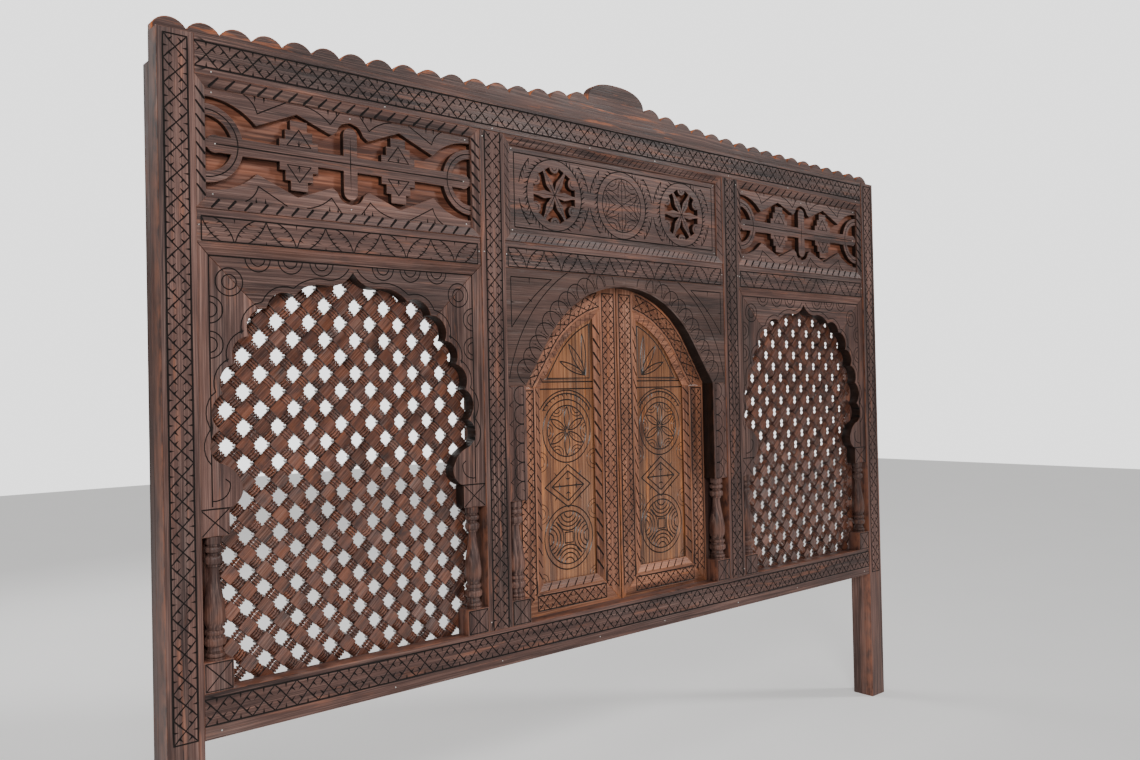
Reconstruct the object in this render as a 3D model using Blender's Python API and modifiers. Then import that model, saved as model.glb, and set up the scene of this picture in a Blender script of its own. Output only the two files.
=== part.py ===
"""Carved wooden headboard for a wide bed, with two lattice windows and a pair of arched doors.

Frame: X runs across the headboard with 0 on its centre line, -Y is the carved front, and Z is up
from the floor. Distances back from the posts' front face are called depth, and distances down
from the top edge of the frame are called drop. All lengths are in metres.
"""

import math

import bmesh
import bpy
from mathutils import Matrix, Vector

# Driving dimensions of the whole headboard
WIDTH = 2.000
FRAME_TOP = 1.456
TOTAL_DEPTH = 0.062
GAP = 0.0003
EDGE = 0.0012

# Widths of the members, and how far back their faces lie
POST_WIDTH = 0.058
POST_THICKNESS = 0.038
MID_STILE_CENTRE = 0.362
UPRIGHT_CLEARANCE = 0.003
FRAME_BACK = 0.035
STILE_BACK = 0.0405
RAIL_DEPTH = 0.0015
STILE_DEPTH = 0.0005
LEAF_RAIL_DEPTH = 0.0035
TOP_RAIL_BACK = 0.0187
CREST_BACK = 0.037

# Drops of the horizontal joints
TOP_RAIL_DROP = 0.0618
LEAF_RAIL_DROP = 0.2738
WINDOW_DROP = 0.3274
CAPITAL_DROP = 0.7943
BASE_BLOCK_DROP = 0.9893
BOTTOM_RAIL_DROP = 1.0376
BOTTOM_RAIL_END_DROP = 1.1103
REAR_POST_DROP = 0.045

# Crest board: scallops on a line that climbs to a dome
SCALLOPS_PER_SIDE = 17
SCALLOP_RISE = 0.015
DOME_HALF_WIDTH = 0.0865
DOME_TOP = 0.1002
SHOULDER_RISE = 0.0563
END_RISE = 0.0097
DOME_SQUARENESS = 2.4

# Upper panels and the mitred mouldings round them
MOULDING_WIDTH = 0.0175
MOULDING_FALL = 0.004
MOULDING_DEPTHS = (0.002, 0.009)
PANEL_DEPTHS = (0.0093, 0.0213)
BACKING_DEPTHS = (0.0216, FRAME_BACK)
PANEL_CENTRE_DROP = 0.1678
POCKET_HALF_HEIGHT = 0.0742
BAR_HALF_HEIGHT = 0.0134
CROSS_HALF_WIDTH = 0.0135
CROSS_ARM_HEIGHT = 0.0503
RING_RADIUS = 0.0635
RING_WIDTH = 0.0185
KNOB_RADIUS = 0.0145
KNOB_OFFSET = 0.241
PYRAMID_OFFSET = 0.097
PYRAMID_HALF_WIDTH = 0.035
PYRAMID_STEPS = ((0.010, 0.0131), (0.0095, 0.0164), (0, 0.0164))
NOTCH_RADIUS = 0.0265
NOTCH_CENTRE_HEIGHT = 0.046
POCKET_TOP_POINTS = [(-0.036, 0.0455), (-0.100, 0.0705), (-0.172, 0.0395)]
POCKET_END_RISE = 0.010
ROSETTE_OFFSET = 0.195
ROSETTE_RADIUS = 0.058
PETALS = 6
PETAL_HALF_ANGLE = math.radians(17)
PETAL_TIP = 0.0571
PETAL_BELLY = 0.0297
FLOWER_EYE_RADIUS = 0.010
BUMP_RADIUS = 0.0125

# Windows
WINDOW_DEPTHS = (0.008, FRAME_BACK)
WINDOW_MARGIN = 0.020
CAPITAL_WIDTH = 0.0477
LATTICE_DEPTHS = (0.0353, 0.0533)
LATTICE_TOP_DROP = 0.318
LATTICE_BOTTOM_DROP = 1.0676
HOLE_PITCH = 0.0595
HOLE_HALF_DIAGONAL = 0.0172
LATTICE_RIM = 0.010
LATTICE_ROWS = 24
LATTICE_COLUMNS = 12
COLUMN_SUNK = 0.004
WINDOW_COLUMN_RADIUS = 0.017
WINDOW_COLUMN_DEPTH = 0.0175

# Arch, doors and their columns
ARCH_HALF_WIDTH = 0.2865
ARCH_APEX_DROP = 0.3487
ARCH_RADIUS = 0.268
ARCH_TANGENT_ANGLE = math.radians(56.3)
ARCH_SPRING_DROP = 0.5627
ARCH_DEPTHS = (0.003, FRAME_BACK)
JAMB_END_DROP = 0.7923
DOOR_BASE_DROP = 0.9873
DOOR_COLUMN_X = 0.309
DOOR_COLUMN_RADIUS = 0.020
DOOR_COLUMN_DEPTH = 0.0205

LEAF_EDGE = 0.285
LEAF_MEETING = 0.0015
LEAF_DEPTHS = (0.0353, 0.0553)
LEAF_SEAM_DROP = 0.5671
LEAF_BOTTOM_DROP = 1.0415
LEAF_STILE_WIDTH = 0.049
LEAF_RAIL_HEIGHT = 0.051
LEAF_HEAD_WIDTH = 0.042
LEAF_OVERLAP = 0.004
LEAF_MOULDING_WIDTH = 0.0166
LEAF_MOULDING_DEPTHS = (0.0363, 0.0452)
LEAF_PANEL_DEPTHS = (0.0455, 0.0553)

# Hinges on the back of the doors
HINGE_X = 0.2865
HINGE_DEPTH = 0.0586
HINGE_DROPS = {"upper": 0.655, "lower": 0.945}
HINGE_LENGTH = 0.060
PLATE_REACH = 0.024
PLATE_THICKNESS = 0.0014
KNUCKLE_RADIUS = 0.0030
KNUCKLE_END_LENGTH = 0.010
NOTCH_MARGIN = 0.010
PIN_RADIUS = 0.0013
PIN_BORE_RADIUS = 0.00145
HINGE_SIDES = 12

HALF_WIDTH = WIDTH / 2
POST_INNER = HALF_WIDTH - POST_WIDTH
MID_OUTER = MID_STILE_CENTRE + POST_WIDTH / 2
MID_INNER = MID_STILE_CENTRE - POST_WIDTH / 2
BAY_CENTRE = (POST_INNER + MID_OUTER) / 2
BAY_HALF = (POST_INNER - MID_OUTER) / 2 - GAP
CENTRE_HALF = MID_INNER - GAP
ARCH_CENTRE_DROP = ARCH_APEX_DROP + ARCH_RADIUS
SIDES = {"left": -1, "right": 1}

# Window opening: corner points as (distance from the window's centre line, drop) with the
# height of the arc that leads to each from the one before; positive arcs bulge into the board.
APEX = (0.0, 0.3591)
LOBES = [
    ((0.0500, 0.3851), -0.0080),
    ((0.1100, 0.4052), 0.0085),
    ((0.1600, 0.4284), 0.0145),
    ((0.1910, 0.4753), 0.0160),
    ((0.2150, 0.5198), 0.0145),
    ((0.2350, 0.5680), 0.0135),
    ((0.2405, 0.6257), 0.0160),
    ((0.2425, 0.6783), 0.0160),
    ((0.2100, 0.7050), -0.0050),
    ((0.2275, 0.7509), -0.0130),
]

# One hole of each lattice as (distance from the window's centre line towards +X, drop)
LATTICE_PHASE = {"left": (0.0205, 0.4167), "right": (0.0298, 0.4628)}

# Turned column: (height up the shaft, radius), both as fractions of the largest
COLUMN_PROFILE = [
    (0.00, 0.92), (0.03, 0.80), (0.07, 0.92), (0.10, 0.80), (0.15, 1.00), (0.20, 0.82),
    (0.24, 0.92), (0.27, 0.74), (0.34, 0.98), (0.48, 0.84), (0.70, 0.46), (0.76, 0.50),
    (0.81, 0.82), (0.86, 0.52), (0.90, 0.80), (0.94, 0.62), (1.00, 0.76),
]


def front(depth):
    """Y of the plane that lies this far behind the posts' front face."""
    return depth - TOTAL_DEPTH / 2


def below(drop):
    """Z of the level that lies this far under the frame's top edge."""
    return FRAME_TOP - drop


def make_collection(name):
    collection = bpy.data.collections.new(name)
    bpy.context.scene.collection.children.link(collection)
    return collection


def make_material(name, colour, roughness, metallic=0.0):
    material = bpy.data.materials.new(name)
    material.use_nodes = True
    shader = material.node_tree.nodes["Principled BSDF"]
    shader.inputs["Base Color"].default_value = (*colour, 1.0)
    shader.inputs["Roughness"].default_value = roughness
    shader.inputs["Metallic"].default_value = metallic
    return material


def claim(obj, name, tone):
    """Name an object, give it its own material and put it with the headboard's parts."""
    colour, roughness, metallic = TONES[tone]
    obj.name = name
    obj.data.name = name
    obj.data.materials.clear()
    obj.data.materials.append(make_material(name, colour, roughness, metallic))
    for collection in list(obj.users_collection):
        collection.objects.unlink(obj)
    PARTS.objects.link(obj)
    return obj


def set_aside(obj, name):
    """Keep an object as a cutter that no build takes for a part."""
    obj.name = name
    obj.hide_render = True
    obj.display_type = "WIRE"
    for collection in list(obj.users_collection):
        collection.objects.unlink(obj)
    CUTTERS.objects.link(obj)
    return obj


def raw_box(x, depth, z):
    """Plain box between two X values, two depths and two heights."""
    size = Vector((abs(x[1] - x[0]), abs(depth[1] - depth[0]), abs(z[1] - z[0])))
    centre = Vector((sum(x) / 2, front(sum(depth) / 2), sum(z) / 2))
    bpy.ops.mesh.primitive_cube_add(size=1, location=centre)
    obj = bpy.context.object
    obj.data.transform(Matrix.Diagonal((*size, 1)))
    return obj


def add_bevel(obj, width):
    bevel = obj.modifiers.new("worn edges", "BEVEL")
    bevel.width = width
    bevel.segments = 1
    bevel.limit_method = "ANGLE"


def add_board(name, x, depth, z, tone="dark", bevel=EDGE):
    obj = claim(raw_box(x, depth, z), name, tone)
    if bevel:
        add_bevel(obj, bevel)
    return obj


def raw_outline(loops, depth):
    """Flat outline standing in the XZ plane, given as loops of (x, z), cut to a thickness."""
    curve = bpy.data.curves.new("outline", "CURVE")
    curve.dimensions = "2D"
    curve.fill_mode = "BOTH"
    curve.extrude = (depth[1] - depth[0]) / 2
    for loop in loops:
        spline = curve.splines.new("POLY")
        spline.points.add(len(loop) - 1)
        spline.use_cyclic_u = True
        for point, (x, z) in zip(spline.points, loop):
            point.co = (x, z, 0, 1)
    obj = bpy.data.objects.new("outline", curve)
    bpy.context.scene.collection.objects.link(obj)
    obj.rotation_euler.x = math.radians(90)
    obj.location.y = front(sum(depth) / 2)
    return obj


def add_outline(name, loops, depth, tone="dark"):
    return claim(raw_outline(loops, depth), name, tone)


def as_mesh(obj):
    """Turn a curve object into a mesh object with its caps welded on."""
    bpy.context.view_layer.update()
    evaluated = obj.evaluated_get(bpy.context.evaluated_depsgraph_get())
    mesh = bpy.data.meshes.new_from_object(evaluated)
    shape = bmesh.new()
    shape.from_mesh(mesh)
    bmesh.ops.remove_doubles(shape, verts=shape.verts, dist=1e-6)
    bmesh.ops.recalc_face_normals(shape, faces=shape.faces)
    shape.to_mesh(mesh)
    shape.free()
    solid = bpy.data.objects.new(obj.name, mesh)
    solid.matrix_world = obj.matrix_world
    bpy.context.scene.collection.objects.link(solid)
    bpy.data.objects.remove(obj)
    return solid


def combine(obj, other, operation, label):
    """Boolean another object into this one and keep that object with the cutters."""
    set_aside(other, label)
    boolean = obj.modifiers.new(operation.lower(), "BOOLEAN")
    boolean.operation = operation
    boolean.solver = "EXACT"
    boolean.object = other
    return obj


def arc(start, end, rise, steps):
    """Points after start along a circular arc to end; a positive rise bulges to the left."""
    chord = Vector(end) - Vector(start)
    half = chord.length / 2
    radius = (half * half + rise * rise) / (2 * abs(rise))
    sweep = 4 * math.atan2(abs(rise), half)
    side = chord.orthogonal().normalized()
    side = side if chord.cross(side) > 0 else -side
    side = side if rise > 0 else -side
    along = chord.normalized()
    centre = Vector(start) + along * half + side * (abs(rise) - radius)
    points = []
    for step in range(1, steps + 1):
        turn = -sweep / 2 + sweep * step / steps
        points.append(tuple(centre + radius * (along * math.sin(turn) + side * math.cos(turn))))
    return points


def circle_arc(centre, radius, start_degrees, end_degrees, steps):
    angles = [math.radians(start_degrees + (end_degrees - start_degrees) * i / steps)
              for i in range(steps + 1)]
    return [(centre[0] + radius * math.cos(a), centre[1] + radius * math.sin(a)) for a in angles]


def clip(points, through, normal):
    """Part of a closed outline on the side of a line that its normal points to."""
    kept = []
    for current, following in zip(points, points[1:] + points[:1]):
        here = (Vector(current) - Vector(through)).dot(Vector(normal))
        there = (Vector(following) - Vector(through)).dot(Vector(normal))
        if here >= 0:
            kept.append(current)
        if here * there < 0:
            kept.append(tuple(Vector(current).lerp(Vector(following), here / (here - there))))
    return kept


def mirrored(points):
    return [(-x, z) for x, z in reversed(points)]


def to_world(points, centre_x, side=1):
    """Outline of (distance from a centre line, drop) points as world (x, z) points."""
    return [(centre_x + side * u, below(drop)) for u, drop in points]


def build_frame():
    """Posts, mid stiles and rails, and the rear posts that make the legs thicker."""
    mid_z = (below(BOTTOM_RAIL_DROP) + GAP, below(TOP_RAIL_DROP) - GAP)
    for name, side in SIDES.items():
        post_x = (side * POST_INNER, side * HALF_WIDTH)
        rear_depth = (POST_THICKNESS + GAP, TOTAL_DEPTH)
        mid_x = (side * MID_INNER, side * MID_OUTER)
        upright_x = (side * (LEAF_EDGE + UPRIGHT_CLEARANCE), side * MID_OUTER)
        add_board(f"{name}_post", post_x, (0, POST_THICKNESS), (0, FRAME_TOP))
        add_board(f"{name}_rear_post", post_x, rear_depth, (0, below(REAR_POST_DROP)))
        add_board(f"{name}_mid_stile", mid_x, (STILE_DEPTH, STILE_BACK), mid_z)
        add_board(f"{name}_hinge_upright", upright_x, (STILE_BACK + GAP, LEAF_DEPTHS[1]),
                  (below(BOTTOM_RAIL_END_DROP), below(TOP_RAIL_DROP)))
    rail_x = (GAP - POST_INNER, POST_INNER - GAP)
    add_board("top_rail", rail_x, (RAIL_DEPTH, TOP_RAIL_BACK), (below(TOP_RAIL_DROP), FRAME_TOP))
    add_board("bottom_rail", rail_x, (RAIL_DEPTH, FRAME_BACK),
              (below(BOTTOM_RAIL_END_DROP), below(BOTTOM_RAIL_DROP)))


def crest_line(x):
    """Height of the valleys between scallops above the frame's top edge."""
    t = (HALF_WIDTH - abs(x)) / (HALF_WIDTH - DOME_HALF_WIDTH)
    return END_RISE + (SHOULDER_RISE - END_RISE) * (t + t ** 6) / 2


def build_crest():
    """Scalloped board whose tongue is nailed to the back of the top rail."""
    pitch = (HALF_WIDTH - DOME_HALF_WIDTH) / SCALLOPS_PER_SIDE
    valleys = [HALF_WIDTH - pitch * i for i in range(SCALLOPS_PER_SIDE + 1)]
    side = [(valleys[0], FRAME_TOP + crest_line(valleys[0]))]
    for x in valleys[1:]:
        side += arc(side[-1], (x, FRAME_TOP + crest_line(x)), -SCALLOP_RISE, 4)
    dome_rise = DOME_TOP - SHOULDER_RISE
    for step in range(1, 6):
        turn = math.radians(90 * step / 6)
        x = DOME_HALF_WIDTH * math.cos(turn) ** (2 / DOME_SQUARENESS)
        side.append((x, FRAME_TOP + SHOULDER_RISE
                     + dome_rise * math.sin(turn) ** (2 / DOME_SQUARENESS)))
    foot = [(POST_INNER - GAP, below(TOP_RAIL_DROP)), (POST_INNER - GAP, FRAME_TOP + GAP),
            (HALF_WIDTH, FRAME_TOP + GAP)]
    half = foot + side
    outline = half + [(0, FRAME_TOP + DOME_TOP)] + mirrored(half)
    add_outline("crest_board", [outline], (TOP_RAIL_BACK + GAP, CREST_BACK))


def add_moulding(name, centre_x, half_width):
    """Mitred frame in one piece whose face slopes down to its opening."""
    z = (below(LEAF_RAIL_DROP) + GAP, below(TOP_RAIL_DROP) - GAP)
    frame = raw_box((centre_x - half_width, centre_x + half_width), MOULDING_DEPTHS, z)
    shape = bmesh.new()
    shape.from_mesh(frame.data)
    rims = []
    for facing, fall in ((-1, -MOULDING_FALL), (1, 0)):
        face = next(f for f in shape.faces if f.normal.y * facing > 0.9)
        bmesh.ops.inset_region(shape, faces=[face], thickness=MOULDING_WIDTH, depth=fall,
                               use_even_offset=True)
        rims += list(face.edges)
        bmesh.ops.delete(shape, geom=[face], context="FACES_ONLY")
    bmesh.ops.bridge_loops(shape, edges=rims)
    bmesh.ops.recalc_face_normals(shape, faces=shape.faces)
    shape.to_mesh(frame.data)
    shape.free()
    claim(frame, name, "dark")


def key_pocket():
    """Lower and upper edges of the key's upper pocket, left half, as (x, height) points."""
    ring_top = circle_arc((-BAY_HALF + MOULDING_WIDTH, 0), RING_RADIUS, 90, 13, 6)
    pyramid = []
    half, height = PYRAMID_HALF_WIDTH, BAR_HALF_HEIGHT
    for narrower, taller in PYRAMID_STEPS:
        pyramid += [(half, height), (half, height + taller)]
        half, height = half - narrower, height + taller
    left_pyramid = [(-PYRAMID_OFFSET - x, z) for x, z in pyramid]
    left_pyramid += [(-PYRAMID_OFFSET + x, z) for x, z in reversed(pyramid)]
    bar_end = circle_arc((0, CROSS_ARM_HEIGHT), CROSS_HALF_WIDTH, 180, 90, 3)
    lower = ring_top + left_pyramid + [(-CROSS_HALF_WIDTH, BAR_HALF_HEIGHT)] + bar_end
    upper = [(0, NOTCH_CENTRE_HEIGHT + NOTCH_RADIUS)]
    upper += circle_arc((0, NOTCH_CENTRE_HEIGHT), NOTCH_RADIUS, 120, 165, 3) + POCKET_TOP_POINTS
    upper += arc(upper[-1], (-BAY_HALF + MOULDING_WIDTH, POCKET_HALF_HEIGHT), -POCKET_END_RISE, 5)
    return lower, upper


def build_key_panels():
    """Pierced fretwork boards over plain backing boards in the two side bays."""
    edge = BAY_HALF - MOULDING_WIDTH
    lower, upper = key_pocket()
    pocket = lower + mirrored(lower)[1:] + mirrored(upper) + upper[1:]
    inner = RING_RADIUS - RING_WIDTH
    eye = circle_arc((-edge, 0), inner, 90, math.degrees(math.asin(BAR_HALF_HEIGHT / inner)), 5)
    knob_meet = math.degrees(math.asin(BAR_HALF_HEIGHT / KNOB_RADIUS))
    eye += circle_arc((-KNOB_OFFSET, 0), KNOB_RADIUS, knob_meet, 150, 3)
    eye += [(-edge, KNOB_RADIUS / 2)]
    shapes = [pocket, eye, mirrored(eye)]
    z = (below(LEAF_RAIL_DROP) + GAP, below(TOP_RAIL_DROP) - GAP)
    middle = below(PANEL_CENTRE_DROP)
    for name, side in SIDES.items():
        centre = side * BAY_CENTRE
        x = (centre - BAY_HALF, centre + BAY_HALF)
        loops = [[(x[0], z[0]), (x[1], z[0]), (x[1], z[1]), (x[0], z[1])]]
        for shape in shapes:
            loops.append([(centre + u, middle + v) for u, v in shape])
            loops.append([(centre + u, middle - v) for u, v in shape])
        add_outline(f"{name}_key_panel", loops, PANEL_DEPTHS)
        add_board(f"{name}_key_backing", x, BACKING_DEPTHS, z, "ground", bevel=0)
        add_moulding(f"{name}_panel_moulding", centre, BAY_HALF)


def polar(radius, angle):
    return Vector((math.cos(angle), math.sin(angle))) * radius


def rosette_holes(centre):
    """The gaps between the petals of one flower, each with a round bump on its rim."""
    holes = []
    for petal in range(PETALS):
        middle = 2 * math.pi * (petal + 0.5) / PETALS
        side = []
        for turn in (-1, 1):
            edge = middle + turn * math.pi / PETALS
            start, end = polar(FLOWER_EYE_RADIUS, middle), polar(PETAL_TIP, edge)
            belly = polar(PETAL_BELLY, edge - turn * PETAL_HALF_ANGLE)
            side.append([start, (start + belly) / 2 + belly * 0.06, belly,
                         (belly + end) / 2 + belly * 0.03, end.lerp(polar(PETAL_TIP, middle), 0.10)])
        bump = [polar(ROSETTE_RADIUS, middle) + polar(BUMP_RADIUS, middle - math.pi * (0.5 + step / 5))
                for step in range(6)]
        outline = side[0] + bump + side[1][:0:-1]
        holes.append([(centre[0] + p.x, centre[1] + p.y) for p in outline])
    return holes


def build_rosette_panel():
    """Panel with two pierced flowers over a plain backing board in the centre bay."""
    z = (below(LEAF_RAIL_DROP) + GAP, below(TOP_RAIL_DROP) - GAP)
    x = (-CENTRE_HALF, CENTRE_HALF)
    loops = [[(x[0], z[0]), (x[1], z[0]), (x[1], z[1]), (x[0], z[1])]]
    for side in SIDES.values():
        loops += rosette_holes((side * ROSETTE_OFFSET, below(PANEL_CENTRE_DROP)))
    add_outline("rosette_panel", loops, PANEL_DEPTHS)
    add_board("rosette_backing", x, BACKING_DEPTHS, z, "ground", bevel=0)
    add_moulding("centre_panel_moulding", 0, CENTRE_HALF)


def build_leaf_rails():
    """Rails with the leaf band, one across each bay."""
    z = (below(WINDOW_DROP), below(LEAF_RAIL_DROP))
    spans = {"left": (-POST_INNER + GAP, -MID_OUTER - GAP), "centre": (-CENTRE_HALF, CENTRE_HALF),
             "right": (MID_OUTER + GAP, POST_INNER - GAP)}
    for name, x in spans.items():
        add_board(f"{name}_leaf_rail", x, (LEAF_RAIL_DEPTH, FRAME_BACK), z)


def window_half():
    """Right half of the boards round a window as (distance from the centre line, drop)."""
    edge = [APEX]
    for point, rise in LOBES:
        edge += arc(edge[-1], point, -rise, 4)
    capital = [(BAY_HALF - CAPITAL_WIDTH, CAPITAL_DROP), (BAY_HALF, CAPITAL_DROP)]
    top = WINDOW_DROP + GAP
    return edge + capital + [(BAY_HALF, top), (0, top)]


def build_window_boards():
    """Three mitred boards round each window, with a sloped outer margin."""
    half = window_half()
    corner = (BAY_HALF, WINDOW_DROP + GAP)
    slack = GAP * 0.75
    head = clip(half, (corner[0] - slack, corner[1] - slack), (-1, -1))
    jamb = clip(half, (corner[0] + slack, corner[1] + slack), (1, 1))
    head = [p for p in head if p[0] > 0 or p[1] > corner[1] + GAP]
    depths = (LEAF_RAIL_DEPTH, WINDOW_DEPTHS[1])
    for name, side in SIDES.items():
        centre = side * BAY_CENTRE
        whole = head + mirrored(head[1:])
        board = as_mesh(raw_outline([to_world(whole, centre)], depths))
        claim(board, f"{name}_window_head", "dark")
        plane_face(board, f"{name}_window_head", centre)
        for position, way in (("outer", side), ("inner", -side)):
            label = f"{name}_window_{position}_board"
            board = as_mesh(raw_outline([to_world(jamb, centre, way)], depths))
            claim(board, label, "dark")
            plane_face(board, label, centre)


def plane_face(board, label, centre):
    """Lower a board's face inside the window's margin with one tapered recess."""
    fall = WINDOW_DEPTHS[0] - LEAF_RAIL_DEPTH
    top = below(WINDOW_DROP + GAP)
    bottom = below(BOTTOM_RAIL_DROP)
    bpy.ops.mesh.primitive_cube_add(size=1)
    cutter = bpy.context.object
    shape = bmesh.new()
    shape.from_mesh(cutter.data)
    for vert in shape.verts:
        inner = vert.co.y > 0
        inset = WINDOW_MARGIN if inner else -WINDOW_MARGIN
        vert.co.x = math.copysign(BAY_HALF - inset, vert.co.x)
        vert.co.z = (top - inset) if vert.co.z > 0 else bottom
        vert.co.y = front(LEAF_RAIL_DEPTH + fall) if inner else front(LEAF_RAIL_DEPTH - fall)
    shape.to_mesh(cutter.data)
    shape.free()
    cutter.location.x = centre
    combine(board, cutter, "DIFFERENCE", f"{label}_recess")


def build_lattices():
    """Grilles of blocks and links at 45 degrees, nailed behind the window boards."""
    z = (below(LATTICE_BOTTOM_DROP), below(LATTICE_TOP_DROP))
    reach = HOLE_HALF_DIAGONAL + LATTICE_RIM
    for name, side in SIDES.items():
        centre = side * BAY_CENTRE
        x = (centre - BAY_HALF, centre + BAY_HALF)
        loops = [[(x[0], z[0]), (x[1], z[0]), (x[1], z[1]), (x[0], z[1])]]
        start = (centre + LATTICE_PHASE[name][0], below(LATTICE_PHASE[name][1]))
        for row in range(-LATTICE_ROWS, LATTICE_ROWS + 1):
            for column in range(-LATTICE_COLUMNS, LATTICE_COLUMNS + 1):
                hole_x = start[0] + (column + 0.5 * (row % 2)) * HOLE_PITCH
                hole_z = start[1] + row * HOLE_PITCH / 2
                if x[0] + reach < hole_x < x[1] - reach and z[0] + reach < hole_z < z[1] - reach:
                    loops.append([(hole_x + HOLE_HALF_DIAGONAL * a, hole_z + HOLE_HALF_DIAGONAL * b)
                                  for a, b in ((1, 0), (0, 1), (-1, 0), (0, -1))])
        add_outline(f"{name}_lattice", loops, LATTICE_DEPTHS)


def add_column(name, x, depth, radius, block_x, block_back, drops):
    """Turned column standing on the square block that it is turned from."""
    top, base, foot = (below(drop) for drop in drops)
    top -= GAP
    height = top - base
    mesh = bpy.data.meshes.new(name)
    shape = bmesh.new()
    rings = [(0, top)] + [(radius * r, base + height * h) for h, r in reversed(COLUMN_PROFILE)]
    rings[-1] = (rings[-1][0], base - COLUMN_SUNK)
    rings.append((0, base - COLUMN_SUNK))
    verts = [shape.verts.new((r, 0, z)) for r, z in rings]
    for a, b in zip(verts, verts[1:]):
        shape.edges.new((a, b))
    shape.to_mesh(mesh)
    shape.free()
    shaft = bpy.data.objects.new(f"{name}_shaft", mesh)
    bpy.context.scene.collection.objects.link(shaft)
    shaft.location = (x, front(depth), 0)
    screw = shaft.modifiers.new("turned", "SCREW")
    screw.angle = 2 * math.pi
    screw.steps = screw.render_steps = 12
    screw.use_merge_vertices = True
    screw.merge_threshold = 1e-5
    block = raw_box(block_x, (ARCH_DEPTHS[0], block_back), (foot + GAP, base))
    claim(block, name, "dark")
    combine(block, shaft, "UNION", f"{name}_shaft")


def build_columns():
    """A pair of columns in each window and a pair beside the doors."""
    window_drops = (CAPITAL_DROP, BASE_BLOCK_DROP, BOTTOM_RAIL_DROP)
    inner_u = BAY_HALF - CAPITAL_WIDTH
    for name, side in SIDES.items():
        for position, way in (("outer", side), ("inner", -side)):
            centre = side * BAY_CENTRE
            block_x = (centre + way * inner_u, centre + way * BAY_HALF)
            add_column(f"{name}_window_{position}_column", sum(block_x) / 2, WINDOW_COLUMN_DEPTH,
                       WINDOW_COLUMN_RADIUS, block_x, FRAME_BACK, window_drops)
        block_x = (side * ARCH_HALF_WIDTH, side * CENTRE_HALF)
        add_column(f"{name}_door_column", side * DOOR_COLUMN_X, DOOR_COLUMN_DEPTH,
                   DOOR_COLUMN_RADIUS, block_x, STILE_BACK,
                   (JAMB_END_DROP, DOOR_BASE_DROP, BOTTOM_RAIL_DROP))


def arch_curve(inset, start_x, end_drop, steps):
    """Right side of the arch moved inwards, from start_x out and down to a drop."""
    radius = ARCH_RADIUS - inset
    first = math.asin(start_x / radius)
    points = []
    for step in range(steps + 1):
        turn = first + (ARCH_TANGENT_ANGLE - first) * step / steps
        points.append((radius * math.sin(turn), ARCH_CENTRE_DROP - radius * math.cos(turn)))
    x, drop = points[-1]
    points.append((x + (end_drop - drop) / math.tan(ARCH_TANGENT_ANGLE), end_drop))
    return points


def arch_drop_at(inset, x):
    """Drop at which the straight foot of the arch, moved inwards, reaches an x."""
    radius = ARCH_RADIUS - inset
    start_x = radius * math.sin(ARCH_TANGENT_ANGLE)
    start_drop = ARCH_CENTRE_DROP - radius * math.cos(ARCH_TANGENT_ANGLE)
    return start_drop + (x - start_x) * math.tan(ARCH_TANGENT_ANGLE)


def build_arch():
    """Board cut to the arch, and the jamb boards under it."""
    right = arch_curve(0, 0, ARCH_SPRING_DROP, 8)
    half = right + [(CENTRE_HALF, ARCH_SPRING_DROP), (CENTRE_HALF, WINDOW_DROP + GAP)]
    outline = half + mirrored(half[1:])
    add_outline("arch_board", [to_world(outline, 0)], ARCH_DEPTHS)
    z = (below(JAMB_END_DROP), below(ARCH_SPRING_DROP) - GAP)
    for name, side in SIDES.items():
        add_board(f"{name}_door_jamb", (side * ARCH_HALF_WIDTH, side * CENTRE_HALF),
                  (ARCH_DEPTHS[0], STILE_BACK), z)


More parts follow.
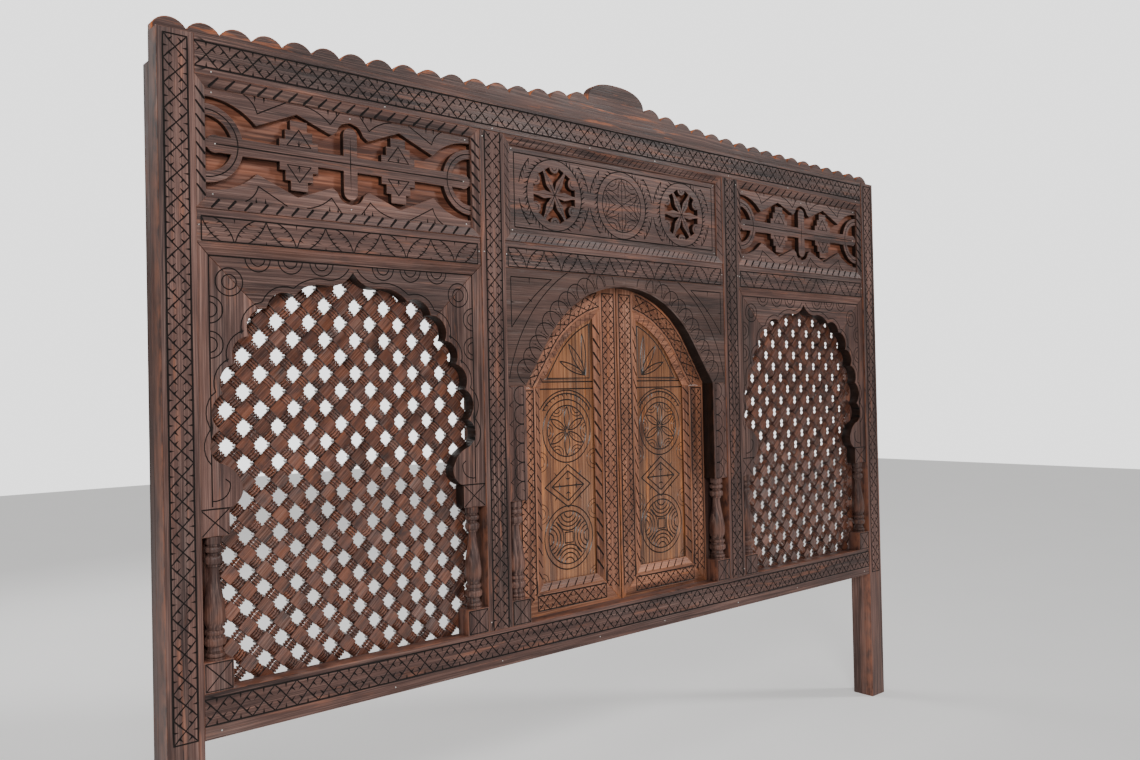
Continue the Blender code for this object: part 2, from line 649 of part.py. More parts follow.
def build_leaf(name, side):
    """One door leaf: two stiles, arched head, bottom rail, moulding and carved panel."""
    inner = LEAF_MEETING + LEAF_STILE_WIDTH
    outer = LEAF_EDGE - LEAF_STILE_WIDTH
    rail_top = LEAF_BOTTOM_DROP - LEAF_RAIL_HEIGHT
    top_edge = arch_curve(-LEAF_OVERLAP, LEAF_MEETING, LEAF_SEAM_DROP, 8)
    foot = [(LEAF_MEETING, LEAF_BOTTOM_DROP), (LEAF_EDGE, LEAF_BOTTOM_DROP)]

    meeting = top_edge + [(LEAF_EDGE, LEAF_SEAM_DROP)] + list(reversed(foot))
    meeting = clip(meeting, (inner, 0), (-1, 0))
    meeting = clip(meeting, (inner, rail_top), (-1, -LEAF_STILE_WIDTH / LEAF_RAIL_HEIGHT))
    add_outline(f"{name}_door_meeting_stile", [to_world(meeting, 0, side)], LEAF_DEPTHS, "door")

    hinge = [(outer, LEAF_SEAM_DROP), (LEAF_EDGE, LEAF_SEAM_DROP), foot[1], (outer, rail_top)]
    add_outline(f"{name}_door_hinge_stile", [to_world(hinge, 0, side)], LEAF_DEPTHS, "door")

    rail = [(inner + GAP, rail_top), (outer - GAP, rail_top),
            (LEAF_EDGE - 2 * GAP, LEAF_BOTTOM_DROP), (LEAF_MEETING + 2 * GAP, LEAF_BOTTOM_DROP)]
    add_outline(f"{name}_door_bottom_rail", [to_world(rail, 0, side)], LEAF_DEPTHS, "door")

    seam = LEAF_SEAM_DROP - GAP
    shoulder_drop = arch_drop_at(-LEAF_OVERLAP, LEAF_EDGE)
    outside = arch_curve(-LEAF_OVERLAP, inner + GAP, shoulder_drop, 7) + [(LEAF_EDGE, seam)]
    inside = arch_curve(LEAF_HEAD_WIDTH, inner + GAP, seam, 6)
    inside[-1] = (outer, seam)
    head = outside + list(reversed(inside))
    add_outline(f"{name}_door_head", [to_world(head, 0, side)], LEAF_DEPTHS, "door")

    corner_drop = rail_top - GAP
    field = arch_curve(LEAF_HEAD_WIDTH + GAP, inner + 2 * GAP, LEAF_SEAM_DROP, 6)
    field[-1] = (outer - GAP, LEAF_SEAM_DROP)
    field += [(outer - GAP, corner_drop), (inner + 2 * GAP, corner_drop)]
    add_outline(f"{name}_door_panel", [to_world(field, 0, side)], LEAF_PANEL_DEPTHS, "door")

    width = LEAF_MOULDING_WIDTH
    sight = arch_curve(LEAF_HEAD_WIDTH + width, inner + width, LEAF_SEAM_DROP, 6)
    sight[-1] = (outer - width, LEAF_SEAM_DROP)
    sight += [(outer - width, corner_drop - width), (inner + width, corner_drop - width)]
    add_outline(f"{name}_door_moulding", [to_world(field, 0, side), to_world(sight, 0, side)],
                LEAF_MOULDING_DEPTHS, "door")


def raw_cylinder(radius, x, depth, z):
    bpy.ops.mesh.primitive_cylinder_add(vertices=HINGE_SIDES, radius=radius, depth=z[1] - z[0],
                                        location=(x, front(depth), sum(z) / 2))
    return bpy.context.object


def add_hinge(name, side, drop):
    """Butt hinge: a plate with two knuckles and the pin, and a plate with the middle knuckle."""
    middle = below(drop)
    x = side * HINGE_X
    plate_depths = (LEAF_DEPTHS[1] + GAP, LEAF_DEPTHS[1] + GAP + PLATE_THICKNESS)
    plate_z = (middle - HINGE_LENGTH / 2, middle + HINGE_LENGTH / 2)
    half_barrel = HINGE_LENGTH / 2 - 2 * KNUCKLE_END_LENGTH

    def plate(way, near):
        return raw_box((x + way * near, x + way * PLATE_REACH), plate_depths, plate_z)

    fixed = claim(plate(side, 0), f"{name}_frame_plate", "steel")
    notch_z = (middle - half_barrel - GAP, middle + half_barrel + GAP)
    notch_x = (x - KNUCKLE_RADIUS - GAP, x + KNUCKLE_RADIUS + GAP)
    notch_depths = (plate_depths[0] - NOTCH_MARGIN, plate_depths[1] + NOTCH_MARGIN)
    notch = raw_box(notch_x, notch_depths, notch_z)
    combine(fixed, notch, "DIFFERENCE", f"{name}_notch")
    for label, z in (("low", (plate_z[0], notch_z[0])), ("high", (notch_z[1], plate_z[1]))):
        knuckle = raw_cylinder(KNUCKLE_RADIUS, x, HINGE_DEPTH, z)
        combine(fixed, knuckle, "UNION", f"{name}_{label}_knuckle")
    pin_z = (plate_z[0] + KNUCKLE_END_LENGTH, plate_z[1] - KNUCKLE_END_LENGTH)
    pin = raw_cylinder(PIN_RADIUS, x, HINGE_DEPTH, pin_z)
    combine(fixed, pin, "UNION", f"{name}_pin")

    moving = claim(plate(-side, 0), f"{name}_leaf_plate", "steel")
    for label, z in (("low", (plate_z[0] - NOTCH_MARGIN, notch_z[0] + GAP)),
                     ("high", (notch_z[1] - GAP, plate_z[1] + NOTCH_MARGIN))):
        space = raw_box(notch_x, notch_depths, z)
        combine(moving, space, "DIFFERENCE", f"{name}_{label}_space")
    barrel_z = (notch_z[0] + GAP, notch_z[1] - GAP)
    barrel = raw_cylinder(KNUCKLE_RADIUS, x, HINGE_DEPTH, barrel_z)
    combine(moving, barrel, "UNION", f"{name}_barrel")
    bore = raw_cylinder(PIN_BORE_RADIUS, x, HINGE_DEPTH, plate_z)
    combine(moving, bore, "DIFFERENCE", f"{name}_bore")


def hang_door(name, side):
    """Parent a leaf's pieces to an empty on the hinge axis."""
    pivot = bpy.data.objects.new(f"{name}_door_pivot", None)
    pivot.location = (side * HINGE_X, front(HINGE_DEPTH), below(LEAF_BOTTOM_DROP))
    PARTS.objects.link(pivot)
    bpy.context.view_layer.update()
    pieces = ["meeting_stile", "hinge_stile", "bottom_rail", "head", "panel", "moulding",
              "upper_hinge_leaf_plate", "lower_hinge_leaf_plate"]
    for piece in pieces:
        obj = bpy.data.objects[f"{name}_door_{piece}"]
        obj.parent = pivot
        obj.matrix_parent_inverse = pivot.matrix_world.inverted()


def build_doors():
    for name, side in SIDES.items():
        build_leaf(name, side)
        for position, drop in HINGE_DROPS.items():
            add_hinge(f"{name}_door_{position}_hinge", side, drop)
        hang_door(name, side)


for leftover in list(bpy.data.objects):
    bpy.data.objects.remove(leftover)

TONES = {
    "dark": ((0.085, 0.052, 0.042), 0.5, 0.0),
    "ground": ((0.16, 0.085, 0.055), 0.55, 0.0),
    "door": ((0.19, 0.10, 0.06), 0.45, 0.0),
    "steel": ((0.30, 0.29, 0.28), 0.4, 1.0),
}
PARTS = make_collection("carved_headboard")
CUTTERS = make_collection("cutters")

build_frame()
build_crest()
build_key_panels()
build_rosette_panel()
build_leaf_rails()
build_window_boards()
build_lattices()
build_columns()
build_arch()
build_doors()
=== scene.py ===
"""Looks of the carved wooden headboard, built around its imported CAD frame.

X runs across the headboard, -Y is the carved front and Z is up, all in metres. As in the CAD part,
depth is measured back from the posts' front face and drop down from the frame's top edge.
Boards are cut from outlines, and every carved line is a real V groove in the board's mesh.
"""

import itertools
import math
import random

import bmesh
import bpy
import numpy as np
from mathutils import Matrix, Vector
from mathutils.geometry import delaunay_2d_cdt


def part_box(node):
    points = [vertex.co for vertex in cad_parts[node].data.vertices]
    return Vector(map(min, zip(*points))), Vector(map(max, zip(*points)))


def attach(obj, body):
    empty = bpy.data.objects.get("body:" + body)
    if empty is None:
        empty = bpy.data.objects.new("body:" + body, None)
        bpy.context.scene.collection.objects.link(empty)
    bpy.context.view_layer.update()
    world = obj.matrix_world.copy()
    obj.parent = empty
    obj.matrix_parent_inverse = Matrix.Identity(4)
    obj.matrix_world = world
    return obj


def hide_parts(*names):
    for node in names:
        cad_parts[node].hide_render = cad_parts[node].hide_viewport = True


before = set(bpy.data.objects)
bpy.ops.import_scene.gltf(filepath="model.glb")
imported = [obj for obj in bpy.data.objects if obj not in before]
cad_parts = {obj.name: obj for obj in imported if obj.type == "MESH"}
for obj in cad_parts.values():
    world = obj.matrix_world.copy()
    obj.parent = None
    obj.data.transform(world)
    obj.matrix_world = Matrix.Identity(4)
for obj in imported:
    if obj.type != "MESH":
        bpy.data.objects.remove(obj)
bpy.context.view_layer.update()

FRONT_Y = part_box("left_post")[0].y
FRAME_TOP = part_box("left_post")[1].z
HALF_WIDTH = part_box("right_post")[1].x
POST_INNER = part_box("right_post")[0].x
MID_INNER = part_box("right_mid_stile")[0].x
MID_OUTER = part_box("right_mid_stile")[1].x
BAY_CENTRE = (POST_INNER + MID_OUTER) / 2
GAP = 0.0003
BAY_HALF = (POST_INNER - MID_OUTER) / 2 - GAP
CENTRE_HALF = MID_INNER - GAP
SIDES = {"left": -1, "right": 1}

# Half widths of the carved lines, and the bevels on the boards' edges
LINE = 0.0012
FINE_LINE = 0.0009
HAIRLINE = 0.0003
BORDER_LINE = 0.0014
SLASH = 0.0025
TICK = 0.0021
TICK_TIP = 0.0002
GROOVE_SLOPE = 0.9
CHAMFER = 0.0009
MOULDING_CHAMFER = 0.0004
WINDOW_CHAMFER = 0.0005
PIERCED_CHAMFER = 0.0006
CREST_CHAMFER = 0.0022

# Directions in the XZ plane
RIGHT, UP, DOWN = (1, 0), (0, 1), (0, -1)


def front(depth):
    """Y of the plane that lies this far behind the posts' front face."""
    return FRONT_Y + depth


def below(drop):
    """Z of the level that lies this far under the frame's top edge."""
    return FRAME_TOP - drop


def depths(node):
    """Depth of a CAD node's front and back."""
    low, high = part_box(node)
    return low.y - FRONT_Y, high.y - FRONT_Y


def spans(node):
    """A CAD node's X range and Z range."""
    low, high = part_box(node)
    return (low.x, high.x), (low.z, high.z)


# ---------------------------------------------------------------- paths in the XZ plane

def rectangle(x, z):
    return [(x[0], z[0]), (x[1], z[0]), (x[1], z[1]), (x[0], z[1])]


def circle_arc(centre, radius, start_degrees, end_degrees, steps):
    angles = [math.radians(start_degrees + (end_degrees - start_degrees) * i / steps)
              for i in range(steps + 1)]
    return [(centre[0] + radius * math.cos(a), centre[1] + radius * math.sin(a)) for a in angles]


def arc(start, end, rise, steps):
    """Points after start along a circular arc to end; a positive rise bulges to the left."""
    if abs(rise) < 1e-7:
        return [tuple(Vector(start).lerp(Vector(end), i / steps)) for i in range(1, steps + 1)]
    chord = Vector(end) - Vector(start)
    half = chord.length / 2
    radius = (half * half + rise * rise) / (2 * abs(rise))
    sweep = 4 * math.atan2(abs(rise), half)
    along = chord.normalized()
    side = Vector((-along.y, along.x)) * math.copysign(1, rise)
    centre = Vector(start) + along * half + side * (abs(rise) - radius)
    turns = [-sweep / 2 + sweep * step / steps for step in range(1, steps + 1)]
    return [tuple(centre + radius * (along * math.sin(t) + side * math.cos(t))) for t in turns]


def bow(start, end, rise, steps=10):
    return [start] + arc(start, end, rise, steps)


def polar(radius, angle):
    return Vector((math.cos(angle), math.sin(angle))) * radius


def smooth_path(knots, steps):
    """Catmull-Rom curve through the knots."""
    knots = [Vector(k) for k in knots]
    padded = [knots[0] * 2 - knots[1]] + knots + [knots[-1] * 2 - knots[-2]]
    points = []
    for i in range(1, len(padded) - 2):
        a, b, c, d = padded[i - 1:i + 3]
        for step in range(steps):
            t = step / steps
            points.append(0.5 * ((2 * b) + (c - a) * t + (2 * a - 5 * b + 4 * c - d) * t * t
                                 + (3 * b - a - 3 * c + d) * t ** 3))
    return points + [knots[-1]]


def thin_out(points, least=0.0016):
    """Points with close neighbours left out, so that an offset path doesn't fold."""
    kept = [points[0]]
    for point in points[1:]:
        if (Vector(point) - Vector(kept[-1])).length > least:
            kept.append(point)
    return kept


def mirrored(points):
    return [(-x, z) for x, z in reversed(points)]


def placed(points, centre_x, side=1):
    """Points of (distance from a centre line, drop) as world (x, z) points."""
    return [(centre_x + side * u, below(drop)) for u, drop in points]


def clip(points, through, normal):
    """Part of a closed outline on the side of a line that its normal points to."""
    kept = []
    for current, following in zip(points, points[1:] + points[:1]):
        here = (Vector(current) - Vector(through)).dot(Vector(normal))
        there = (Vector(following) - Vector(through)).dot(Vector(normal))
        if here >= 0:
            kept.append(current)
        if here * there < 0:
            kept.append(tuple(Vector(current).lerp(Vector(following), here / (here - there))))
    return kept


def offset_path(path, distances, closed):
    """Path moved to its left by a distance at each point."""
    points = np.array(path, float)
    ahead = np.roll(points, -1, 0) - points
    behind = points - np.roll(points, 1, 0)
    if not closed:
        ahead[-1], behind[0] = behind[-1], ahead[0]
    ahead /= np.linalg.norm(ahead, axis=1)[:, None] + 1e-12
    behind /= np.linalg.norm(behind, axis=1)[:, None] + 1e-12
    mean = ahead + behind
    mean /= np.linalg.norm(mean, axis=1)[:, None] + 1e-12
    normal = np.stack([-mean[:, 1], mean[:, 0]], 1)
    stretch = 1 / np.clip(np.sum(mean * ahead, 1), 0.5, 1)
    return points + normal * (np.asarray(distances) * stretch)[:, None]


# ---------------------------------------------------------------- carved lines
# A cut is (path, half width at each of its points, whether it closes).

def line(start, end, half=LINE, tip=None):
    """Straight V cut; it narrows to tip where one is given."""
    return ([start, end], [half, half if tip is None else tip], False)


def curve(points, half=LINE):
    return (list(points), [half] * len(points), False)


def bowed(start, end, rise, steps=10, half=LINE):
    return curve(bow(start, end, rise, steps), half)


def lobe(centre, radius, facing, spread, steps, half=LINE):
    """Cut along the part of a circle within spread degrees of where it faces."""
    return curve(circle_arc(centre, radius, facing - spread, facing + spread, steps), half)


def ring(centre, radius, half=LINE, steps=40):
    return (circle_arc(centre, radius, 0, 360, steps)[:-1], [half] * steps, True)


def polygon(points, half=LINE):
    """Straight cuts round a closed outline."""
    return [line(a, b, half) for a, b in zip(points, points[1:] + points[:1])]


def tick(foot, direction, length, half=TICK):
    """Short wedge cut that starts wide on a line and runs to a point."""
    way = Vector(direction).normalized() * length
    return line(foot, (foot[0] + way.x, foot[1] + way.y), half, TICK_TIP)


def moved(cuts, centre_x, centre_z, flip=1):
    """Cuts drawn round the origin, put round a centre and turned upside down where flip is -1."""
    return [([(centre_x + x, centre_z + flip * z) for x, z in path], widths, closed)
            for path, widths, closed in cuts]


def placed_cuts(cuts, centre_x, side=1):
    """Cuts in (distance from a centre line, drop) as world cuts."""
    return [(placed(path, centre_x, side), widths, closed) for path, widths, closed in cuts]


def straight(start, along, across):
    """Map of (distance along, distance across) for a straight strip."""
    def at(u, v):
        return (start[0] + along[0] * u + across[0] * v, start[1] + along[1] * u + across[1] * v)
    return at


def criss_cross(at, length, half, cell=0.0385):
    """Crosses with wedge cuts that leave a four-petalled flower between each pair."""
    count = max(1, round(length / cell))
    step = length / count

    def wedge(u, v, du, dv, size):
        foot, ahead = Vector(at(u, v)), Vector(at(u + du * 1e-4, v + dv * 1e-4))
        return tick(tuple(foot), ahead - foot, size)

    cuts = []
    for i in range(count):
        left, right, mid = i * step, (i + 1) * step, (i + 0.5) * step
        cuts += [line(at(left, -half), at(right, half)), line(at(left, half), at(right, -half))]
        for v in (-1, 1):
            for u in (-1, 1):
                cuts.append(wedge(mid + u * step * 0.26, v * half * 0.52, u, -v, half * 0.46))
            cuts.append(wedge(mid, v * half, 0, -v, half * 0.44))
    return cuts


def band(start, along, across, length, half, closed_ends=(False, False), cell=0.0385):
    """Criss-cross between two border grooves, closed by a cross groove where asked."""
    at = straight(start, along, across)
    cuts = criss_cross(at, length, half, cell)
    cuts += [line(at(0, v), at(length, v), BORDER_LINE) for v in (-half, half)]
    cuts += [line(at(u, -half), at(u, half), BORDER_LINE)
             for u, closed in zip((0, length), closed_ends) if closed]
    return cuts


def slashes(start, along, across, length, width, pitch, lean, half=SLASH):
    """Row of slanting wedge cuts across a moulding."""
    at = straight(start, along, across)
    count = max(1, round(length / pitch))
    step = length / count
    cuts = []
    for i in range(count):
        u = (i + 0.5) * step
        ends = [at(u + lean * v * width, v * width) for v in (-0.5, 0.5)]
        cuts.append(line(ends[0], ends[1], half * 0.7, half))
    return cuts


# ---------------------------------------------------------------- boards from outlines

def segments_of(cuts):
    """Start, end and both half widths of every straight stretch of the cuts."""
    rows = []
    for path, widths, closed in cuts:
        count = len(path)
        for i in range(count if closed else count - 1):
            j = (i + 1) % count
            rows.append((path[i], path[j], widths[i], widths[j]))
    return [np.array(column, float) for column in zip(*rows)]


BATCH = 1500


def groove_depth(points, cuts):
    """How deep the deepest V cut is at each point."""
    deepest = np.zeros(len(points))
    if not cuts:
        return deepest
    a, b, wa, wb = segments_of(cuts)
    run = b - a
    length2 = np.maximum((run ** 2).sum(1), 1e-14)
    for low in range(0, len(points), BATCH):
        part = points[low:low + BATCH]
        rel = part[:, None, :] - a[None]
        t = np.clip((rel * run[None]).sum(2) / length2, 0, 1)
        away = np.sqrt(((rel - t[..., None] * run[None]) ** 2).sum(2))
        width = wa + t * (wb - wa)
        deepest[low:low + BATCH] = np.maximum(0, (GROOVE_SLOPE * (width - away)).max(1))
    return deepest


def inside(points, loops):
    """Even-odd test of points against closed loops."""
    result = np.zeros(len(points), bool)
    for loop in loops:
        a = np.array(loop, float)
        b = np.roll(a, -1, 0)
        for (x0, z0), (x1, z1) in zip(a, b):
            if z0 == z1:
                continue
            crosses = (points[:, 1] > z0) != (points[:, 1] > z1)
            where = x0 + (points[:, 1] - z0) * (x1 - x0) / (z1 - z0)
            result ^= crosses & (points[:, 0] < where)
    return result


def triangulate(points, edges, loops):
    """Vertices and the triangles inside the loops, with every edge kept."""
    verts, _, faces, origin, _, _ = delaunay_2d_cdt([Vector(p) for p in points], edges, [], 0, 1e-7)
    verts = np.array([tuple(v) for v in verts], float)
    faces = np.array([f for f in faces if len(f) == 3], int)
    corner = verts[faces]
    area = np.cross(corner[:, 1] - corner[:, 0], corner[:, 2] - corner[:, 0])
    faces = np.where(area[:, None] < 0, faces[:, ::-1], faces)
    keep = inside(corner.mean(1), loops) & (np.abs(area) > 1e-14)
    return verts, faces[keep], origin


def grain_coordinates(points, y, along, seed):
    """Coordinates that run with the wood: along the grain, across it and into the board."""
    turn = math.radians(along)
    c, s = math.cos(turn), math.sin(turn)
    shift = np.array([seed * 3.71 % 7.0, seed * 1.93 % 5.0, seed * 0.57 % 3.0])
    return np.stack([points[:, 0] * c + points[:, 1] * s,
                     points[:, 1] * c - points[:, 0] * s, y], 1) + shift


seeds = itertools.count(1)


def kept_paths(loops, rims, cuts, folds):
    """Every path that a board's mesh keeps as edges: (points, whether it closes)."""
    paths = [(loop, True) for loop in loops]
    for path, widths, _ in rims:
        paths += [(offset_path(path, way * np.array(widths), True), True) for way in (1, -1)]
    for path, widths, closed in cuts:
        left, right = (offset_path(path, way * np.array(widths), closed) for way in (1, -1))
        paths.append((path, closed))
        if closed:
            paths += [(left, True), (right, True)]
            continue
        first, last = Vector(path[0]), Vector(path[-1])
        cap_start = first - (Vector(path[1]) - first).normalized() * widths[0]
        cap_end = last + (last - Vector(path[-2])).normalized() * widths[-1]
        paths += [([cap_start, *left, cap_end, *right[::-1]], True),
                  ([cap_start, path[0]], False), ([path[-1], cap_end], False)]
    return paths + [(path, False) for path in folds]


def carved_sheet(loops, face, back, cuts=(), folds=(), along=0, chamfer=CHAMFER):
    """Geometry of a board, (vertices, faces, attributes), from outline loops in (x, z).

    Face is the depth of the front, or a function of x and z. Chamfer is one width for every
    loop, or a width for each point of the first.
    """
    seed = next(seeds)
    if np.ndim(chamfer):
        rims = [(loops[0], chamfer, True)]
    else:
        rims = [(loop, [chamfer] * len(loop), True) for loop in loops] if chamfer else []
    points, edges = [], []
    for path, closed in kept_paths(loops, rims, cuts, folds):
        base, count = len(points), len(path)
        points += [tuple(p) for p in path]
        edges += [(base + i, base + (i + 1) % count) for i in range(count if closed else count - 1)]

    verts, faces, _ = triangulate(points, edges, loops)
    used, faces = np.unique(faces, return_inverse=True)
    faces = faces.reshape(-1, 3)
    verts = verts[used]
    carved = groove_depth(verts, cuts)
    rim = groove_depth(verts, rims)
    surface = face(verts[:, 0], verts[:, 1]) if callable(face) else np.full(len(verts), face)

    # The back repeats the front's border points, and walls join the two.
    known = {(f[i], f[(i + 1) % 3]) for f in faces.tolist() for i in range(3)}
    border = sorted((a, b) for a, b in known if (b, a) not in known)
    border_points = sorted({a for a, _ in border})
    local = {v: i for i, v in enumerate(border_points)}
    _, back_faces, origin = triangulate([tuple(verts[v]) for v in border_points],
                                        [(local[a], local[b]) for a, b in border], loops)
    count = len(verts)
    behind = [count + ids[0] for ids in origin]
    all_faces = faces.tolist()
    all_faces += [[behind[a], behind[c], behind[b]] for a, b, c in back_faces]
    all_faces += [[b, a, count + local[a], count + local[b]] for a, b in border]

    flat = np.concatenate([verts, verts[border_points]])
    none = np.zeros(len(border_points))
    depth = np.concatenate([surface + np.maximum(carved, rim), none + back])
    vertices = np.stack([flat[:, 0], front(0) + depth, flat[:, 1]], 1)
    attributes = {
        "grain": grain_coordinates(flat, depth, along, seed),
        "cut": np.concatenate([carved, none]) * 1000,
        "worn": np.concatenate([rim, none]) / (GROOVE_SLOPE * max(np.max(chamfer), 1e-6)),
        "tone": np.full(len(flat), (seed * 0.618) % 1.0),
    }
    return vertices, all_faces, attributes


def merge(parts):
    """Several geometries as one."""
    vertices = np.concatenate([p[0] for p in parts])
    faces, base = [], 0
    for verts, polys, _ in parts:
        faces += [[i + base for i in f] for f in polys]
        base += len(verts)
    names = parts[0][2].keys()
    return vertices, faces, {n: np.concatenate([p[2][n] for p in parts]) for n in names}


def add_piece(name, geometry, material, body, slot, nodes=(), smooth=None):
    """Object from a geometry, riding on a body and standing for CAD nodes."""
    vertices, faces, attributes = geometry
    mesh = bpy.data.meshes.new(name)
    mesh.from_pydata([tuple(v) for v in vertices], [], faces)
    for label, values in attributes.items():
        vector = values.ndim == 2
        layer = mesh.attributes.new(label, "FLOAT_VECTOR" if vector else "FLOAT", "POINT")
        layer.data.foreach_set("vector" if vector else "value", values.astype(np.float32).ravel())
    mesh.validate()
    if smooth is not None:
        mesh.shade_smooth()
        mesh.set_sharp_from_angle(angle=math.radians(smooth))
    mesh.materials.append(material)
    obj = bpy.data.objects.new(name, mesh)
    bpy.context.scene.collection.objects.link(obj)
    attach(obj, body)
    if nodes:
        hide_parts(*nodes)


def carve(node, material, cuts=(), loops=None, face=None, body="frame", slot="dark_wood",
          ending="carved", **options):
    """Carved board that stands for a CAD node, with the node's own outline where loops isn't given."""
    near, back = depths(node)
    geometry = carved_sheet(loops or [rectangle(*spans(node))], near if face is None else face, back,
                            cuts, **options)
    add_piece(f"{node}_{ending}", geometry, material, body, slot, [node])


# ---------------------------------------------------------------- materials

def srgb(red, green, blue):
    """Linear colour from 0-255 sRGB values."""
    def linear(value):
        value /= 255
        return value / 12.92 if value <= 0.04045 else ((value + 0.055) / 1.055) ** 2.4
    return (linear(red), linear(green), linear(blue), 1.0)


SOOT = (0.0030, 0.0022, 0.0018, 1)
# Near-black of the painted shade on side walls of cut-outs and board edges
PAINTED_WALL_SHADE = (0.0040, 0.0026, 0.0020, 1)
# Pale grey of patches that are partly dust and partly a painted sheen
DUST_AND_SHEEN = srgb(150, 134, 128)


class Nodes:
    """Short way to write a material's node tree."""

    def __init__(self, name):
        self.material = bpy.data.materials.new(name)
        self.material.use_nodes = True
        self.tree = self.material.node_tree
        self.shader = self.tree.nodes["Principled BSDF"]

    def put(self, value, socket):
        if isinstance(value, bpy.types.NodeSocket):
            self.tree.links.new(value, socket)
        else:
            socket.default_value = value

    def add(self, kind, settings=None, inputs=None, output=0):
        made = self.tree.nodes.new(kind)
        for key, value in (settings or {}).items():
            setattr(made, key, value)
        for key, value in (inputs or {}).items():
            self.put(value, made.inputs[key])
        return made.outputs[output]

    def attribute(self, name, output="Fac"):
        return self.add("ShaderNodeAttribute", {"attribute_name": name}, None, output)

    def scaled(self, vector, scale):
        return self.add("ShaderNodeVectorMath", {"operation": "MULTIPLY"}, {0: vector, 1: scale})

    def noise(self, vector, scale, detail=3, roughness=0.55):
        return self.add("ShaderNodeTexNoise", None, {"Vector": self.scaled(vector, scale), "Scale": 1,
                                                     "Detail": detail, "Roughness": roughness})

    def place(self, kind="Object"):
        return self.add("ShaderNodeTexCoord", output=kind)

    def math(self, operation, a, b=0.0, clamp=False):
        return self.add("ShaderNodeMath", {"operation": operation, "use_clamp": clamp}, {0: a, 1: b})

    def ramp(self, value, low, high, out_low=0.0, out_high=1.0):
        return self.add("ShaderNodeMapRange", None, {0: value, 1: low, 2: high, 3: out_low, 4: out_high})

    def mix(self, factor, a, b, blend="MIX"):
        return self.add("ShaderNodeMix", {"data_type": "RGBA", "blend_type": blend},
                        {0: factor, 6: a, 7: b}, 2)


